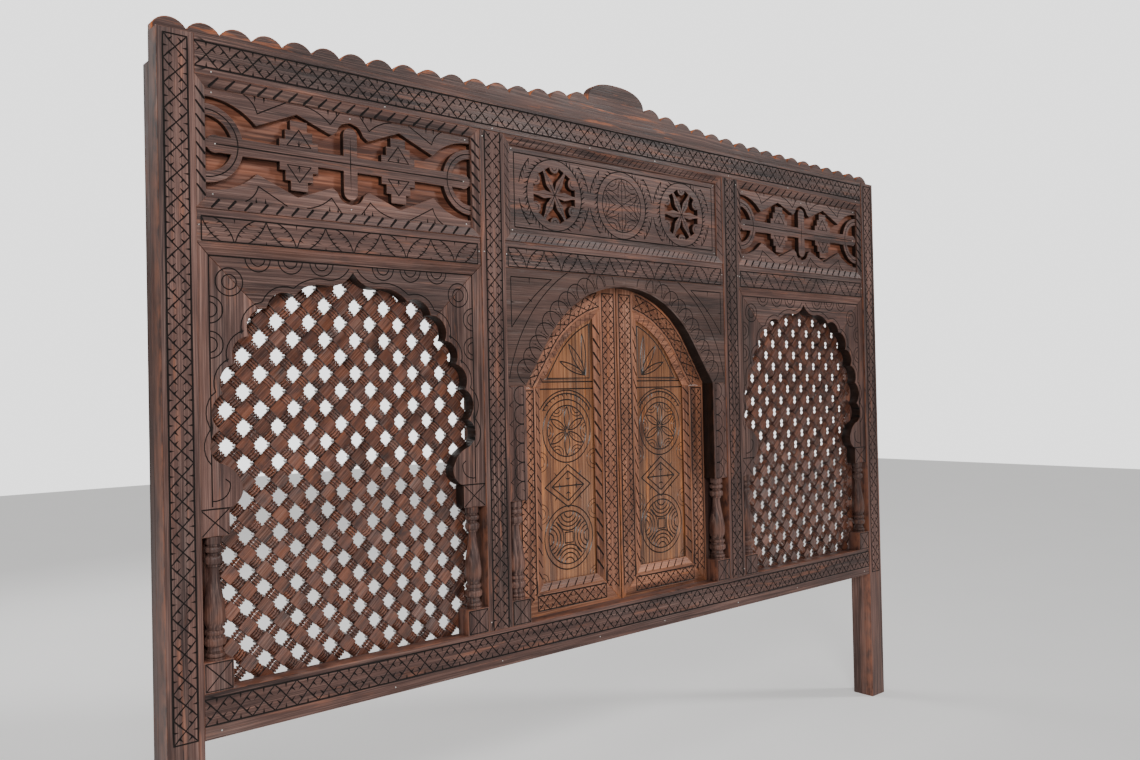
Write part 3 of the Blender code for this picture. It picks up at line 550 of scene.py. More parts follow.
def wood(name, deep, mid, light, worn, wear=0.5, gloss=0.46, coat=0.0, along=None, dust_and_sheen=0.16,
         wall_shade=0.0, varnish=0.28):
    """Stained softwood. Its grain follows the boards' own coordinates, or along where it is given.

    Its wall shade darkens the side faces between a board's front and back with painted shade, in place of
    their shadow.
    """
    n = Nodes(name)
    if along is None:
        grain = n.attribute("grain", "Vector")
    else:
        turn = (0, 0, 0) if along == "x" else (0, math.radians(90), 0)
        grain = n.add("ShaderNodeMapping", None, {"Vector": n.place(), "Rotation": turn})
    streaks = n.noise(grain, (1.7, 40, 40), 5, 0.6)
    fibres = n.noise(grain, (7, 560, 240), 3, 0.6)
    blotch = n.noise(grain, (5, 11, 11), 3, 0.6)
    warp = n.add("ShaderNodeTexNoise", None,
                 {"Vector": n.scaled(grain, (1.1, 7, 7)), "Scale": 1, "Detail": 2}, "Color")
    bent = n.add("ShaderNodeVectorMath", {"operation": "ADD"},
                 {0: n.scaled(grain, (0.10, 1, 1)), 1: n.scaled(warp, (0, 0.045, 0.045))})
    rings = n.add("ShaderNodeTexWave", {"bands_direction": "Y", "wave_profile": "SAW"},
                  {"Vector": bent, "Scale": 34, "Distortion": 3.5, "Detail": 3, "Detail Scale": 1.3}, 1)
    rings = n.math("MULTIPLY", rings, n.ramp(n.noise(grain, (2, 14, 14), 2), 0.40, 0.62, 0.0, 1.0))
    colour = n.mix(n.ramp(streaks, 0.36, 0.66), deep, mid)
    colour = n.mix(n.ramp(rings, 0.45, 1.0, 0.0, 0.42), colour, light)
    colour = n.mix(n.ramp(fibres, 0.50, 0.70, 0.0, 0.42), colour, light)
    colour = n.mix(n.ramp(fibres, 0.30, 0.46, 0.55, 0.0), colour, deep)
    shade = n.math("ADD", n.ramp(blotch, 0.3, 0.7, 0.70, 1.24),
                   n.ramp(n.attribute("tone"), 0, 1, -0.14, 0.16))
    colour = n.mix(1.0, colour, n.add("ShaderNodeCombineColor", None, {0: shade, 1: shade, 2: shade}),
                   "MULTIPLY")
    # Grey patches, partly dust and partly a painted sheen standing in for light reflected off the surface
    dust_and_sheen_mask = n.ramp(n.noise(grain, (3.2, 16, 16), 4, 0.65), 0.50, 0.72, 0.0, dust_and_sheen)
    colour = n.mix(n.math("MULTIPLY", dust_and_sheen_mask, n.ramp(fibres, 0.35, 0.6)), colour, DUST_AND_SHEEN)
    patch = n.ramp(n.noise(grain, (7, 70, 70), 4, 0.65), 0.58, 0.70)
    patch = n.math("MULTIPLY", patch, wear * 0.60)
    rub = n.ramp(n.noise(grain, (30, 60, 60), 3, 0.6), 0.36, 0.58)
    edge = n.math("MULTIPLY", n.math("MULTIPLY", n.attribute("worn"), rub), wear, True)
    colour = n.mix(n.math("MAXIMUM", patch, edge), colour, worn)
    # Painted shade: faces that stand side-on to the front are darkened towards near-black, standing in
    # for the shadow in cut-outs and recesses
    if wall_shade:
        facing = n.math("ABSOLUTE", n.add("ShaderNodeSeparateXYZ", None, {0: n.place("Normal")}, 1))
        colour = n.mix(n.ramp(facing, 0.10, 0.45, wall_shade, 0.0), colour, PAINTED_WALL_SHADE)
    cut = n.ramp(n.attribute("cut"), 0.03, 0.35)
    colour = n.mix(n.math("MULTIPLY", cut, 0.95), colour, SOOT)
    n.put(colour, n.shader.inputs["Base Color"])
    rough = n.math("ADD", n.ramp(blotch, 0.3, 0.7, gloss - 0.08, gloss + 0.10),
                   n.ramp(fibres, 0.3, 0.7, -0.06, 0.08))
    n.put(n.math("ADD", rough, n.math("MULTIPLY", cut, 0.3), True), n.shader.inputs["Roughness"])
    n.shader.inputs["Coat Weight"].default_value = coat
    n.shader.inputs["Coat Roughness"].default_value = varnish
    n.shader.inputs["Specular IOR Level"].default_value = 0.24
    height = n.math("ADD", n.math("MULTIPLY", fibres, 0.5), n.math("MULTIPLY", rings, -0.35))
    height = n.math("ADD", height, n.math("MULTIPLY", streaks, 0.8))
    bump = n.add("ShaderNodeBump", None, {"Strength": 0.7, "Distance": 0.0013, "Height": height})
    n.put(bump, n.shader.inputs["Normal"])
    return n.material


def metal(name, colour, roughness):
    """Dull steel with fine scratches and small spots of rust."""
    n = Nodes(name)
    place = n.place()
    spots = n.noise(place, (220, 220, 220), 4, 0.6)
    scratches = n.noise(place, (60, 60, 900), 3, 0.6)
    rust = n.ramp(spots, 0.58, 0.70)
    n.put(n.mix(rust, colour, srgb(96, 58, 38)), n.shader.inputs["Base Color"])
    n.put(n.math("SUBTRACT", 1.0, rust, True), n.shader.inputs["Metallic"])
    n.put(n.ramp(scratches, 0.3, 0.7, roughness - 0.08, roughness + 0.16), n.shader.inputs["Roughness"])
    bump = n.add("ShaderNodeBump", None, {"Strength": 0.4, "Distance": 0.0002, "Height": scratches})
    n.put(bump, n.shader.inputs["Normal"])
    return n.material


DARK = dict(deep=srgb(43, 30, 28), mid=srgb(90, 64, 57), light=srgb(142, 110, 99),
            worn=srgb(166, 104, 76))
dark_wood = wood("dark_stained_wood", **DARK)
# Dark wood with painted shade on the side walls of its cut-outs and edges
pierced_wood_shaded_walls = wood("pierced_wood_shaded_walls", **DARK, wall_shade=0.90)
crest_wood = wood("crest_wood", **{**DARK, "worn": srgb(190, 104, 54)}, wear=1.0)
# Arch wood, with painted shade on its side walls
arch_wood = wood("arch_wood", deep=srgb(46, 32, 29), mid=srgb(88, 63, 55), light=srgb(122, 94, 83),
                 worn=srgb(120, 106, 101), wear=0.6, dust_and_sheen=0.06, wall_shade=0.85)
# The lattice's grey patches, partly dust and partly painted sheen, are the strongest
lattice_wood = wood("lattice_wood", deep=srgb(38, 25, 23), mid=srgb(82, 54, 47),
                    light=srgb(130, 96, 84), worn=srgb(168, 96, 60), gloss=0.24, coat=0.55,
                    dust_and_sheen=0.30, varnish=0.14)
# Door wood, with painted shade on the edges and side walls of the leaves' pieces
door_wood = wood("door_wood", deep=srgb(76, 46, 34), mid=srgb(146, 96, 73), light=srgb(192, 138, 108),
                 worn=srgb(202, 124, 70), wear=0.6, gloss=0.44, coat=0.05, wall_shade=0.75)
panel_wood = wood("door_panel_wood", deep=srgb(70, 40, 27), mid=srgb(140, 90, 58),
                  light=srgb(190, 136, 94), worn=srgb(206, 124, 62), wear=0.8, gloss=0.28,
                  coat=0.35, dust_and_sheen=0.2)
plain_x = wood("plain_wood_across", **DARK, along="x")
plain_z = wood("plain_wood_upright", **DARK, along="z")
ground_wood = wood("ground_wood", deep=srgb(60, 32, 24), mid=srgb(134, 80, 58),
                   light=srgb(176, 116, 90), worn=srgb(186, 108, 66), wear=0.4, along="x")
steel = metal("hinge_steel", (0.32, 0.31, 0.30, 1), 0.42)
nail_steel = metal("nail_steel", (0.56, 0.54, 0.51, 1), 0.38)

for name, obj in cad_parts.items():
    if "hinge_frame_plate" in name or "hinge_leaf_plate" in name:
        material = steel
    elif "backing" in name:
        material = ground_wood
    elif name.endswith(("rail", "board", "lattice")):
        material = plain_x
    else:
        material = plain_z
    obj.data.materials.clear()
    obj.data.materials.append(material)


# ---------------------------------------------------------------- outer frame

POST_BAND = (0.953, 0.990)
STILE_BAND = (0.343, 0.380)
BAND_HALF = (POST_BAND[1] - POST_BAND[0]) / 2
BAND_TOP_DROP = 0.009
BED_LEVEL = 0.35
RAIL_BAND_DROPS = {"top_rail": (0.0103, 0.0501), "bottom_rail": (1.0467, 1.0879)}

for name, side in SIDES.items():
    start = (side * sum(POST_BAND) / 2, below(BAND_TOP_DROP))
    cuts = band(start, DOWN, RIGHT, start[1] - BED_LEVEL, BAND_HALF, (True, True))
    carve(f"{name}_post", dark_wood, cuts, along=90)

    node = f"{name}_mid_stile"
    low, high = spans(node)[1]
    cuts = band((side * sum(STILE_BAND) / 2, high), DOWN, RIGHT, high - low, BAND_HALF)
    carve(node, dark_wood, cuts, along=90)

for node, drops in RAIL_BAND_DROPS.items():
    left, right = spans(node)[0]
    start = (left, below(sum(drops) / 2))
    carve(node, dark_wood, band(start, RIGHT, UP, right - left, (drops[1] - drops[0]) / 2))


# ---------------------------------------------------------------- crest board

SCALLOPS_PER_SIDE = 17
SCALLOP_RISE = 0.015
DOME_STEPS = 20
DOME_HALF_WIDTH = 0.0865
DOME_TOP = 0.1002
SHOULDER_RISE = 0.0563
END_RISE = 0.0097
DOME_SQUARENESS = 2.4


def crest_line(x):
    """Height of the valleys between scallops above the frame's top edge."""
    t = (HALF_WIDTH - abs(x)) / (HALF_WIDTH - DOME_HALF_WIDTH)
    return END_RISE + (SHOULDER_RISE - END_RISE) * (t + t ** 6) / 2


def crest_outline():
    pitch = (HALF_WIDTH - DOME_HALF_WIDTH) / SCALLOPS_PER_SIDE
    side = [(HALF_WIDTH, FRAME_TOP + crest_line(HALF_WIDTH))]
    for i in range(1, SCALLOPS_PER_SIDE + 1):
        x = HALF_WIDTH - pitch * i
        side += arc(side[-1], (x, FRAME_TOP + crest_line(x)), -SCALLOP_RISE, 9)
    for step in range(1, DOME_STEPS):
        turn = math.radians(90 * step / DOME_STEPS)
        side.append((DOME_HALF_WIDTH * math.cos(turn) ** (2 / DOME_SQUARENESS),
                     FRAME_TOP + SHOULDER_RISE
                     + (DOME_TOP - SHOULDER_RISE) * math.sin(turn) ** (2 / DOME_SQUARENESS)))
    inner_x, low = POST_INNER - GAP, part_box("crest_board")[0].z
    foot = [(inner_x, low), (inner_x, FRAME_TOP + GAP), (HALF_WIDTH, FRAME_TOP + GAP)]
    half = foot + side
    return half + [(0, FRAME_TOP + DOME_TOP)] + mirrored(half)


carve("crest_board", crest_wood, loops=[crest_outline()], ending="scalloped", chamfer=CREST_CHAMFER)


# ---------------------------------------------------------------- panel mouldings

MOULDING_WIDTH = 0.0175
MOULDING_FALL = 0.004

# For level and for upright lengths: how far the slashes lean, and their pitch on each panel
SLASH_LEANS = (0.95, 1.1)
SLASH_ROWS = {"left": ((0.027, 0.022), SLASH), "right": ((0.027, 0.022), SLASH),
              "centre": ((0.0165, 0.020), LINE)}


def falling_face(edge, along, near):
    """Face of a moulding that sinks evenly with distance from its outer edge."""
    def face(x, z):
        away = np.abs((x - edge[0]) * along[1] - (z - edge[1]) * along[0])
        return near + MOULDING_FALL * np.minimum(1.0, away / MOULDING_WIDTH)
    return face


def slashed_moulding(node, pitches, half):
    """Sloping rectangular moulding in four mitred lengths, each with a row of slashes."""
    x, z = spans(node)
    near, back = depths(node)
    width = MOULDING_WIDTH
    outer = rectangle(x, z)
    inner = rectangle((x[0] + width, x[1] - width), (z[0] + width, z[1] - width))
    parts = []
    for i in range(4):
        j, upright = (i + 1) % 4, i % 2
        begin, run = Vector(outer[i]), Vector(outer[j]) - Vector(outer[i])
        along = run.normalized()
        across = Vector((-along.y, along.x))
        cuts = slashes(begin + along * width + across * width * 0.5, along, across,
                       run.length - 2 * width, width * 0.80, pitches[upright], SLASH_LEANS[upright], half)
        parts.append(carved_sheet([[outer[i], outer[j], inner[j], inner[i]]],
                                  falling_face(outer[i], along, near), back, cuts,
                                  along=90 * upright, chamfer=MOULDING_CHAMFER))
    return merge(parts)


for name, (pitches, half) in SLASH_ROWS.items():
    node = f"{name}_panel_moulding"
    add_piece(f"{node}_slashed", slashed_moulding(node, pitches, half), dark_wood, "frame",
              "dark_wood", [node])


# ---------------------------------------------------------------- key fretwork panels

PANEL_CENTRE_DROP = 0.1678
POCKET_HALF_HEIGHT = 0.0742
BAR_HALF_HEIGHT = 0.0134
RING_RADIUS = 0.0635
RING_WIDTH = 0.0185
KNOB_RADIUS = 0.0145
KNOB_OFFSET = 0.241
PYRAMID_OFFSET = 0.097
PYRAMID_STEPS = ((0.010, 0.0131), (0.0095, 0.0164), (0, 0.0164))
PYRAMID_HALF = 0.035
KEY_EDGE = BAY_HALF - MOULDING_WIDTH

# Tip of the line inside each tooth as (x, height), and how far its two legs run out and in
TOOTH_LINES = [((0.170, 0.0600), 0.022, -0.050), ((0.038, 0.0640), 0.046, -0.018)]
TOOTH_TOP = 0.0872


def key_pocket():
    """Lower and upper edges of the key's upper pocket, left half, as (x, height) points."""
    ring_top = circle_arc((-KEY_EDGE, 0), RING_RADIUS, 90, 13, 18)
    pyramid = []
    half, height = PYRAMID_HALF, BAR_HALF_HEIGHT
    for narrower, taller in PYRAMID_STEPS:
        pyramid += [(half, height), (half, height + taller)]
        half, height = half - narrower, height + taller
    left_pyramid = [(-PYRAMID_OFFSET - x, z) for x, z in pyramid]
    left_pyramid += [(-PYRAMID_OFFSET + x, z) for x, z in reversed(pyramid)]
    bar_end = circle_arc((0, 0.0503), 0.0135, 180, 90, 10)
    lower = ring_top + left_pyramid + [(-0.0135, BAR_HALF_HEIGHT)] + bar_end
    upper = [(0, 0.0725)] + circle_arc((0, 0.046), 0.0265, 120, 165, 8)
    upper += [(-0.036, 0.0455), (-0.100, 0.0705), (-0.172, 0.0395)]
    upper += arc(upper[-1], (-KEY_EDGE, POCKET_HALF_HEIGHT), -0.010, 14)
    return lower, upper


def key_cuts():
    """Incised lines of the key panel's upper half, as cuts in (x, height)."""
    cuts = [line((-KNOB_OFFSET, 0), (KNOB_OFFSET, 0)), line((0, 0), (0, 0.047), LINE, HAIRLINE)]
    base, peak = BAR_HALF_HEIGHT + 0.004, BAR_HALF_HEIGHT + 0.031
    for side in (-1, 1):
        cuts.append(curve(circle_arc((side * -KEY_EDGE, 0), RING_RADIUS - RING_WIDTH / 2,
                                     90 - side * 88, 90, 20)))
        centre = side * PYRAMID_OFFSET
        cuts += [line((centre - 0.021, base), (centre, peak)),
                 line((centre, peak), (centre + 0.021, base)),
                 line((centre - 0.022, base - 0.001), (centre + 0.022, base - 0.001), FINE_LINE),
                 tick((centre, base), UP, 0.011, 0.0018)]
        for lean in (-1, 1):
            cuts.append(line((centre, base + 0.001), (centre + lean * 0.006, base + 0.008),
                             FINE_LINE, TICK_TIP))
        for (tip_x, tip), outward, inward in TOOTH_LINES:
            for reach, rise in ((outward, 0.004), (inward, 0.0)):
                cuts.append(bowed((side * tip_x, tip), (side * (tip_x + reach), TOOTH_TOP),
                                  rise * side, 8))
            for shift in (-0.004, 0.012):
                cuts.append(tick((side * (tip_x - shift), TOOTH_TOP + 0.001), DOWN, 0.010))
    return cuts


def key_eye():
    """Opening between the ring's inside and the knob at the end of the bar."""
    eye_radius = RING_RADIUS - RING_WIDTH
    ring_turn = math.degrees(math.asin(BAR_HALF_HEIGHT / eye_radius))
    knob_turn = math.degrees(math.asin(BAR_HALF_HEIGHT / KNOB_RADIUS))
    return (circle_arc((-KEY_EDGE, 0), eye_radius, 90, ring_turn, 14)
            + circle_arc((-KNOB_OFFSET, 0), KNOB_RADIUS, knob_turn, 150, 9)
            + [(-KEY_EDGE, KNOB_RADIUS / 2)])


panel_level = below(PANEL_CENTRE_DROP)
lower, upper = key_pocket()
pocket = lower + mirrored(lower)[1:] + mirrored(upper) + upper[1:]
for name, side in SIDES.items():
    node = f"{name}_key_panel"
    centre = side * BAY_CENTRE
    loops, cuts = [rectangle(*spans(node))], []
    for flip in (1, -1):
        loops += [[(centre + u, panel_level + flip * v) for u, v in shape]
                  for shape in (pocket, key_eye(), mirrored(key_eye()))]
        cuts += moved(key_cuts(), centre, panel_level, flip)
    carve(node, pierced_wood_shaded_walls, cuts, loops, ending="fretwork", chamfer=PIERCED_CHAMFER)


# ---------------------------------------------------------------- rosette panel

ROSETTE_OFFSET = 0.195
ROSETTE_RADIUS = 0.058
ROSETTE_OUTER = 0.075
PETALS = 6
PETAL_HALF_ANGLE = math.radians(17)
BUMP_RADIUS = 0.0125
ROSETTE_BORDER = (0.302, 0.0755)
LEAF_ARC_RADIUS = 0.096
SERRATIONS = 46


def petal_gap(petal):
    """Outline of the gap between two petals, with a round bump on its rim."""
    middle = 2 * math.pi * (petal + 0.5) / PETALS
    tip = ROSETTE_RADIUS * 0.985
    sides = []
    for turn in (-1, 1):
        edge = middle + turn * math.pi / PETALS
        start, end = polar(0.010, middle), polar(tip, edge)
        belly = polar(tip, edge - turn * PETAL_HALF_ANGLE) * 0.52
        last = end.lerp(polar(tip, middle), 0.10)
        sides.append(smooth_path([start, (start + belly) / 2 + belly * 0.06, belly,
                                  (belly + end) / 2 + belly * 0.03, last], 5))
    centre = polar(ROSETTE_RADIUS, middle)
    bump = [centre + polar(BUMP_RADIUS, middle - math.pi / 2 - math.pi * step / 14)
            for step in range(15)]
    return sides[0] + bump + sides[1][:0:-1]


def clipped_arc(centre, radius, limit_x, limit_z, steps=72):
    """Stretches of a circle inside a rectangle centred on the origin."""
    runs, run = [], []
    for i in range(steps + 1):
        angle = 2 * math.pi * i / steps
        point = (centre[0] + radius * math.cos(angle), centre[1] + radius * math.sin(angle))
        if limit_x[0] < point[0] < limit_x[1] and abs(point[1]) < limit_z:
            run.append(point)
        else:
            if len(run) > 2:
                runs.append(run)
            run = []
    if len(run) > 2:
        runs.append(run)
    return runs


def serrated_rings(centre_x):
    """Rings round one rosette, with ticks that lean round them where the border leaves room."""
    half_x, half_z = ROSETTE_BORDER
    cuts = [ring((centre_x, 0), ROSETTE_OUTER - 0.0008, LINE, 64)]
    limits = (max(centre_x - ROSETTE_OFFSET / 2, -half_x) + 0.002,
              min(centre_x + ROSETTE_OFFSET / 2, half_x) - 0.002)
    cuts += [curve(run) for run in clipped_arc((centre_x, 0), LEAF_ARC_RADIUS, limits, half_z - 0.002)]
    for i in range(SERRATIONS):
        angle = 2 * math.pi * i / SERRATIONS
        for radius, way, shift in ((ROSETTE_OUTER, 1, 0), (LEAF_ARC_RADIUS, -1, 0.06)):
            foot = polar(radius, angle + shift)
            x, z = centre_x + foot.x, foot.y
            if limits[0] + 0.003 < x < limits[1] - 0.003 and abs(z) < half_z - 0.005:
                lean = polar(1, angle) * way + polar(0.75, angle + math.pi / 2)
                cuts.append(tick((x, z), lean, 0.0125))
    return cuts


def incised_flower():
    """The middle rosette, which is drawn and not pierced."""
    cuts = [ring((0, 0), ROSETTE_RADIUS + 0.001, LINE, 56)]
    for i in range(PETALS):
        angle = 2 * math.pi * i / PETALS + math.pi / 2
        tip = polar(ROSETTE_RADIUS, angle)
        cuts.append(line((0, 0), tuple(tip), FINE_LINE))
        valley = angle + math.pi / PETALS
        for turn in (-1, 1):
            start = polar(0.020, angle + turn * math.pi / PETALS)
            cuts.append(bowed(tuple(start), tuple(tip * 0.98), turn * 0.0050, 8, FINE_LINE))
            cuts.append(tick(polar(0.030, angle), polar(1, angle + turn * 0.9), 0.009, 0.0011))
        pole = polar(ROSETTE_RADIUS + 0.004, valley)
        for radius, spread in ((0.0235, 62), (0.0145, 74)):
            cuts.append(lobe(pole, radius, math.degrees(valley) + 180, spread, 12, FINE_LINE))
    return cuts


def rosette_cuts():
    """Everything incised on the rosette panel, round its own centre."""
    half_x, half_z = ROSETTE_BORDER
    cuts = polygon(rectangle((-half_x, half_x), (-half_z, half_z)), BORDER_LINE)
    for centre_x in (-ROSETTE_OFFSET, 0, ROSETTE_OFFSET):
        cuts += serrated_rings(centre_x)
    for side in (-1, 1):
        centre = Vector((side * ROSETTE_OFFSET, 0))
        for i in range(PETALS):
            angle = 2 * math.pi * i / PETALS
            tip = centre + polar(ROSETTE_RADIUS * 0.93, angle)
            cuts.append(line(tuple(centre), tuple(tip), LINE, HAIRLINE))
            bump = centre + polar(ROSETTE_RADIUS, angle + math.pi / 6)
            cuts.append(lobe(bump, 0.0062, math.degrees(angle) + 30 + 180, 80, 10, FINE_LINE))
    return cuts + incised_flower()


x, z = spans("rosette_panel")
loops = [rectangle(x, z)]
for side in (-1, 1):
    for petal in range(PETALS):
        loops.append([(side * ROSETTE_OFFSET + p.x, panel_level + p.y) for p in petal_gap(petal)])
cuts = moved(rosette_cuts(), 0, panel_level) + [line((0, z[0]), (0, z[1]), HAIRLINE)]
carve("rosette_panel", pierced_wood_shaded_walls, cuts, loops, chamfer=PIERCED_CHAMFER)


# ---------------------------------------------------------------- leaf rails

LEAF_BAND_DROPS = (0.2868, 0.3250)
LEAF_BAND_END = 0.008
LEAF_PERIOD = 0.098


def leaf_band(start_x, length, z_low, z_high):
    """Row of leaning leaves in pairs, with a cut at the middle of each triangle between them."""
    cuts = [line((start_x, z), (start_x + length, z), BORDER_LINE) for z in (z_low, z_high)]
    cuts += [line((x, z_low), (x, z_high)) for x in (start_x, start_x + length)]
    count = round(length / LEAF_PERIOD)
    period = length / count
    for i in range(count):
        for way in (1, -1):
            at = straight((start_x + (i if way > 0 else i + 1) * period, z_low),
                          (way * period, 0), (0, z_high - z_low))
            outer = bow(at(0.0, 1), at(0.29, 0), -way * 0.0045, 12)
            inner = bow(at(0.17, 1), at(0.49, 0), way * 0.0065, 12)
            cuts += [curve(outer), curve(inner)]
            for path, lean in ((outer, (way * 1.0, 0.25)), (inner, (-way * 1.0, -0.45))):
                cuts += [tick(path[index], lean, 0.0080, 0.0016) for index in (3, 5, 7, 9)]
        cuts.append(tick((start_x + (i + 0.5) * period, z_high), DOWN, 0.009, 0.0015))
        cuts.append(tick((start_x + (i + 1) * period, z_low), UP, 0.006, 0.0015))
    return cuts


for name in ("left", "centre", "right"):
    node = f"{name}_leaf_rail"
    x, z = spans(node)
    cuts = leaf_band(x[0] + LEAF_BAND_END, x[1] - x[0] - 2 * LEAF_BAND_END,
                     below(LEAF_BAND_DROPS[1]), below(LEAF_BAND_DROPS[0]))
    if name == "centre":
        cuts.append(line((0, z[0]), (0, z[1]), HAIRLINE))
    carve(node, dark_wood, cuts)


# ---------------------------------------------------------------- window boards

WINDOW_MARGIN = 0.020
WINDOW_FALL = 0.0045
CAPITAL_WIDTH = 0.0477
CAPITAL_DROP = 0.7943
CAPITAL_TOP_DROP = 0.7509
WINDOW_TOP_DROP = 0.3277
APEX = (0.0, 0.3591)
HALF_RING_RADII = (0.0215, 0.012)
LOBES = [
    ((0.0500, 0.3851), -0.0080), ((0.1100, 0.4052), 0.0085), ((0.1600, 0.4284), 0.0145),
    ((0.1910, 0.4753), 0.0160), ((0.2150, 0.5198), 0.0145), ((0.2350, 0.5680), 0.0135),
    ((0.2405, 0.6257), 0.0160), ((0.2425, 0.6783), 0.0160), ((0.2100, 0.7050), -0.0050),
    ((0.2275, 0.7509), -0.0130),
]


def window_edge(steps=9):
    edge = [APEX]
    for point, rise in LOBES:
        edge += arc(edge[-1], point, -rise, steps)
    return edge


def window_half():
    """Right half of the boards round a window as (distance from the centre line, drop)."""
    capital = [(BAY_HALF - CAPITAL_WIDTH, CAPITAL_DROP), (BAY_HALF, CAPITAL_DROP)]
    return window_edge() + capital + [(BAY_HALF, WINDOW_TOP_DROP), (0, WINDOW_TOP_DROP)]


def window_cuts():
    """Cuts on the right half of the window's boards, in (distance, drop)."""
    edge = window_edge()
    follow = [tuple(p) for p in offset_path(edge, [-0.0098] * len(edge), False) if p[0] > 0.001]
    inner_x, inner_drop = BAY_HALF - WINDOW_MARGIN, WINDOW_TOP_DROP + WINDOW_MARGIN
    cuts = [curve(thin_out(follow[:round(len(follow) * 0.79)])),
            line((0, inner_drop), (inner_x, inner_drop), BORDER_LINE),
            line((inner_x, inner_drop), (inner_x, CAPITAL_TOP_DROP - 0.004), BORDER_LINE)]
    half_rings = [((u, inner_drop), 90) for u in (0.060, 0.117, 0.174)]
    half_rings += [((inner_x, drop), 180) for drop in (0.434, 0.490)]
    for centre, facing in half_rings:
        cuts += [lobe(centre, radius, facing, 90, 22) for radius in HALF_RING_RADII]
    cuts += [ring((0.2225, 0.3884), radius, LINE, 44) for radius in (0.0225, 0.012)]
    tongue = smooth_path([(0.2330, 0.7050), (0.2260, 0.7120), (0.2285, 0.7260), (0.2370, 0.7350),
                          (0.2480, 0.7385), (0.2550, 0.7385)], 5)
    cuts += [curve([tuple(p) for p in tongue]), line((0.2550, 0.7385), (0.2550, 0.690))]
    low, high = CAPITAL_TOP_DROP + 0.002, CAPITAL_DROP - 0.002
    left, right = BAY_HALF - CAPITAL_WIDTH + 0.002, BAY_HALF - 0.002
    cuts += [line((left, low), (right, high)), line((left, high), (right, low)),
             line((left - 0.003, low - 0.002), (BAY_HALF, low - 0.002), BORDER_LINE)]
    return cuts


# The mitre between the head and the side boards runs through the boards' outer corner.
corner = (BAY_HALF, WINDOW_TOP_DROP)
slack = GAP * 0.75
half_outline = window_half()
head = clip(half_outline, (corner[0] - slack, corner[1] - slack), (-1, -1))
head = [p for p in head if p[0] > 1e-6 or p[1] > WINDOW_TOP_DROP + GAP]
jamb = clip(half_outline, (corner[0] + slack, corner[1] + slack), (1, 1))
margin_x, margin_drop = BAY_HALF - WINDOW_MARGIN, WINDOW_TOP_DROP + WINDOW_MARGIN
margin = [(-margin_x, CAPITAL_DROP), (-margin_x, margin_drop), (margin_x, margin_drop),
          (margin_x, CAPITAL_DROP)]
for name, side in SIDES.items():
    centre = side * BAY_CENTRE
    near = depths(f"{name}_window_head")[0]

    def face(x, z):
        inward = np.minimum(BAY_HALF - np.abs(x - centre), below(WINDOW_TOP_DROP) - z)
        return near + WINDOW_FALL * np.clip(inward / WINDOW_MARGIN, 0, 1)

    cuts = {way: placed_cuts(window_cuts(), centre, way) for way in (-1, 1)}
    options = dict(face=face, folds=[placed(margin, centre)], chamfer=WINDOW_CHAMFER)
    carve(f"{name}_window_head", pierced_wood_shaded_walls, cuts[1] + cuts[-1],
          [placed(head + mirrored(head[1:]), centre)], **options)
    for position, way in (("outer", side), ("inner", -side)):
        carve(f"{name}_window_{position}_board", pierced_wood_shaded_walls, cuts[way], [placed(jamb, centre, way)],
              along=90, **options)


# ---------------------------------------------------------------- lattices

HOLE_PITCH = 0.0595
LATTICE_PHASE = {"left": (0.0205, 0.4167), "right": (0.0298, 0.4628)}
BLOCK_HALF = 0.0124
RIM_WIDTH = 0.013
OUTER_RIM_WIDTH = 0.027
LINK_SIDES = 14
LINK_SWELL = 1.25

LINK_RUBBED_RADIUS = 0.0083
BLOCK_BEVEL = 0.0008
BLOCK_MARGIN = 0.012
LINK_MARGIN = 0.004
ROWS, COLUMNS = 26, 12

# Turned link between two blocks: (place along its half length, radius in mm), from middle to end
LINK_PROFILE = [(0.00, 8.8), (0.16, 8.7), (0.24, 8.1), (0.29, 6.4), (0.37, 6.4), (0.42, 8.1),
                (0.50, 8.7), (0.68, 8.7), (0.77, 8.0), (0.84, 6.6), (1.02, 6.6)]


def tube_faces(rings, sides):
    """Faces between neighbouring rings of a turned shape."""
    return [[row * sides + i, row * sides + (i + 1) % sides,
             (row + 1) * sides + (i + 1) % sides, (row + 1) * sides + i]
            for row in range(rings - 1) for i in range(sides)]


def turned_link(length):
    """Beaded link along X: vertices and faces."""
    profile = [(-t, r) for t, r in reversed(LINK_PROFILE[1:])] + LINK_PROFILE
    verts = []
    for t, r in profile:
        for i in range(LINK_SIDES):
            a = 2 * math.pi * i / LINK_SIDES
            verts.append((t * length / 2, r / 1000 * math.cos(a), LINK_SWELL * r / 1000 * math.sin(a)))
    return np.array(verts), tube_faces(len(profile), LINK_SIDES)


def bevelled_block(half, half_depth, bevel):
    """Block with its edges taken off: vertices and faces."""
    shape = bmesh.new()
    bmesh.ops.create_cube(shape, size=2)
    bmesh.ops.scale(shape, vec=(half, half_depth, half), verts=shape.verts)
    bmesh.ops.bevel(shape, geom=list(shape.edges), offset=bevel, segments=1, affect="EDGES")
    shape.verts.index_update()
    verts = np.array([tuple(v.co) for v in shape.verts])
    faces = [[v.index for v in f.verts] for f in shape.faces]
    shape.free()
    return verts, faces


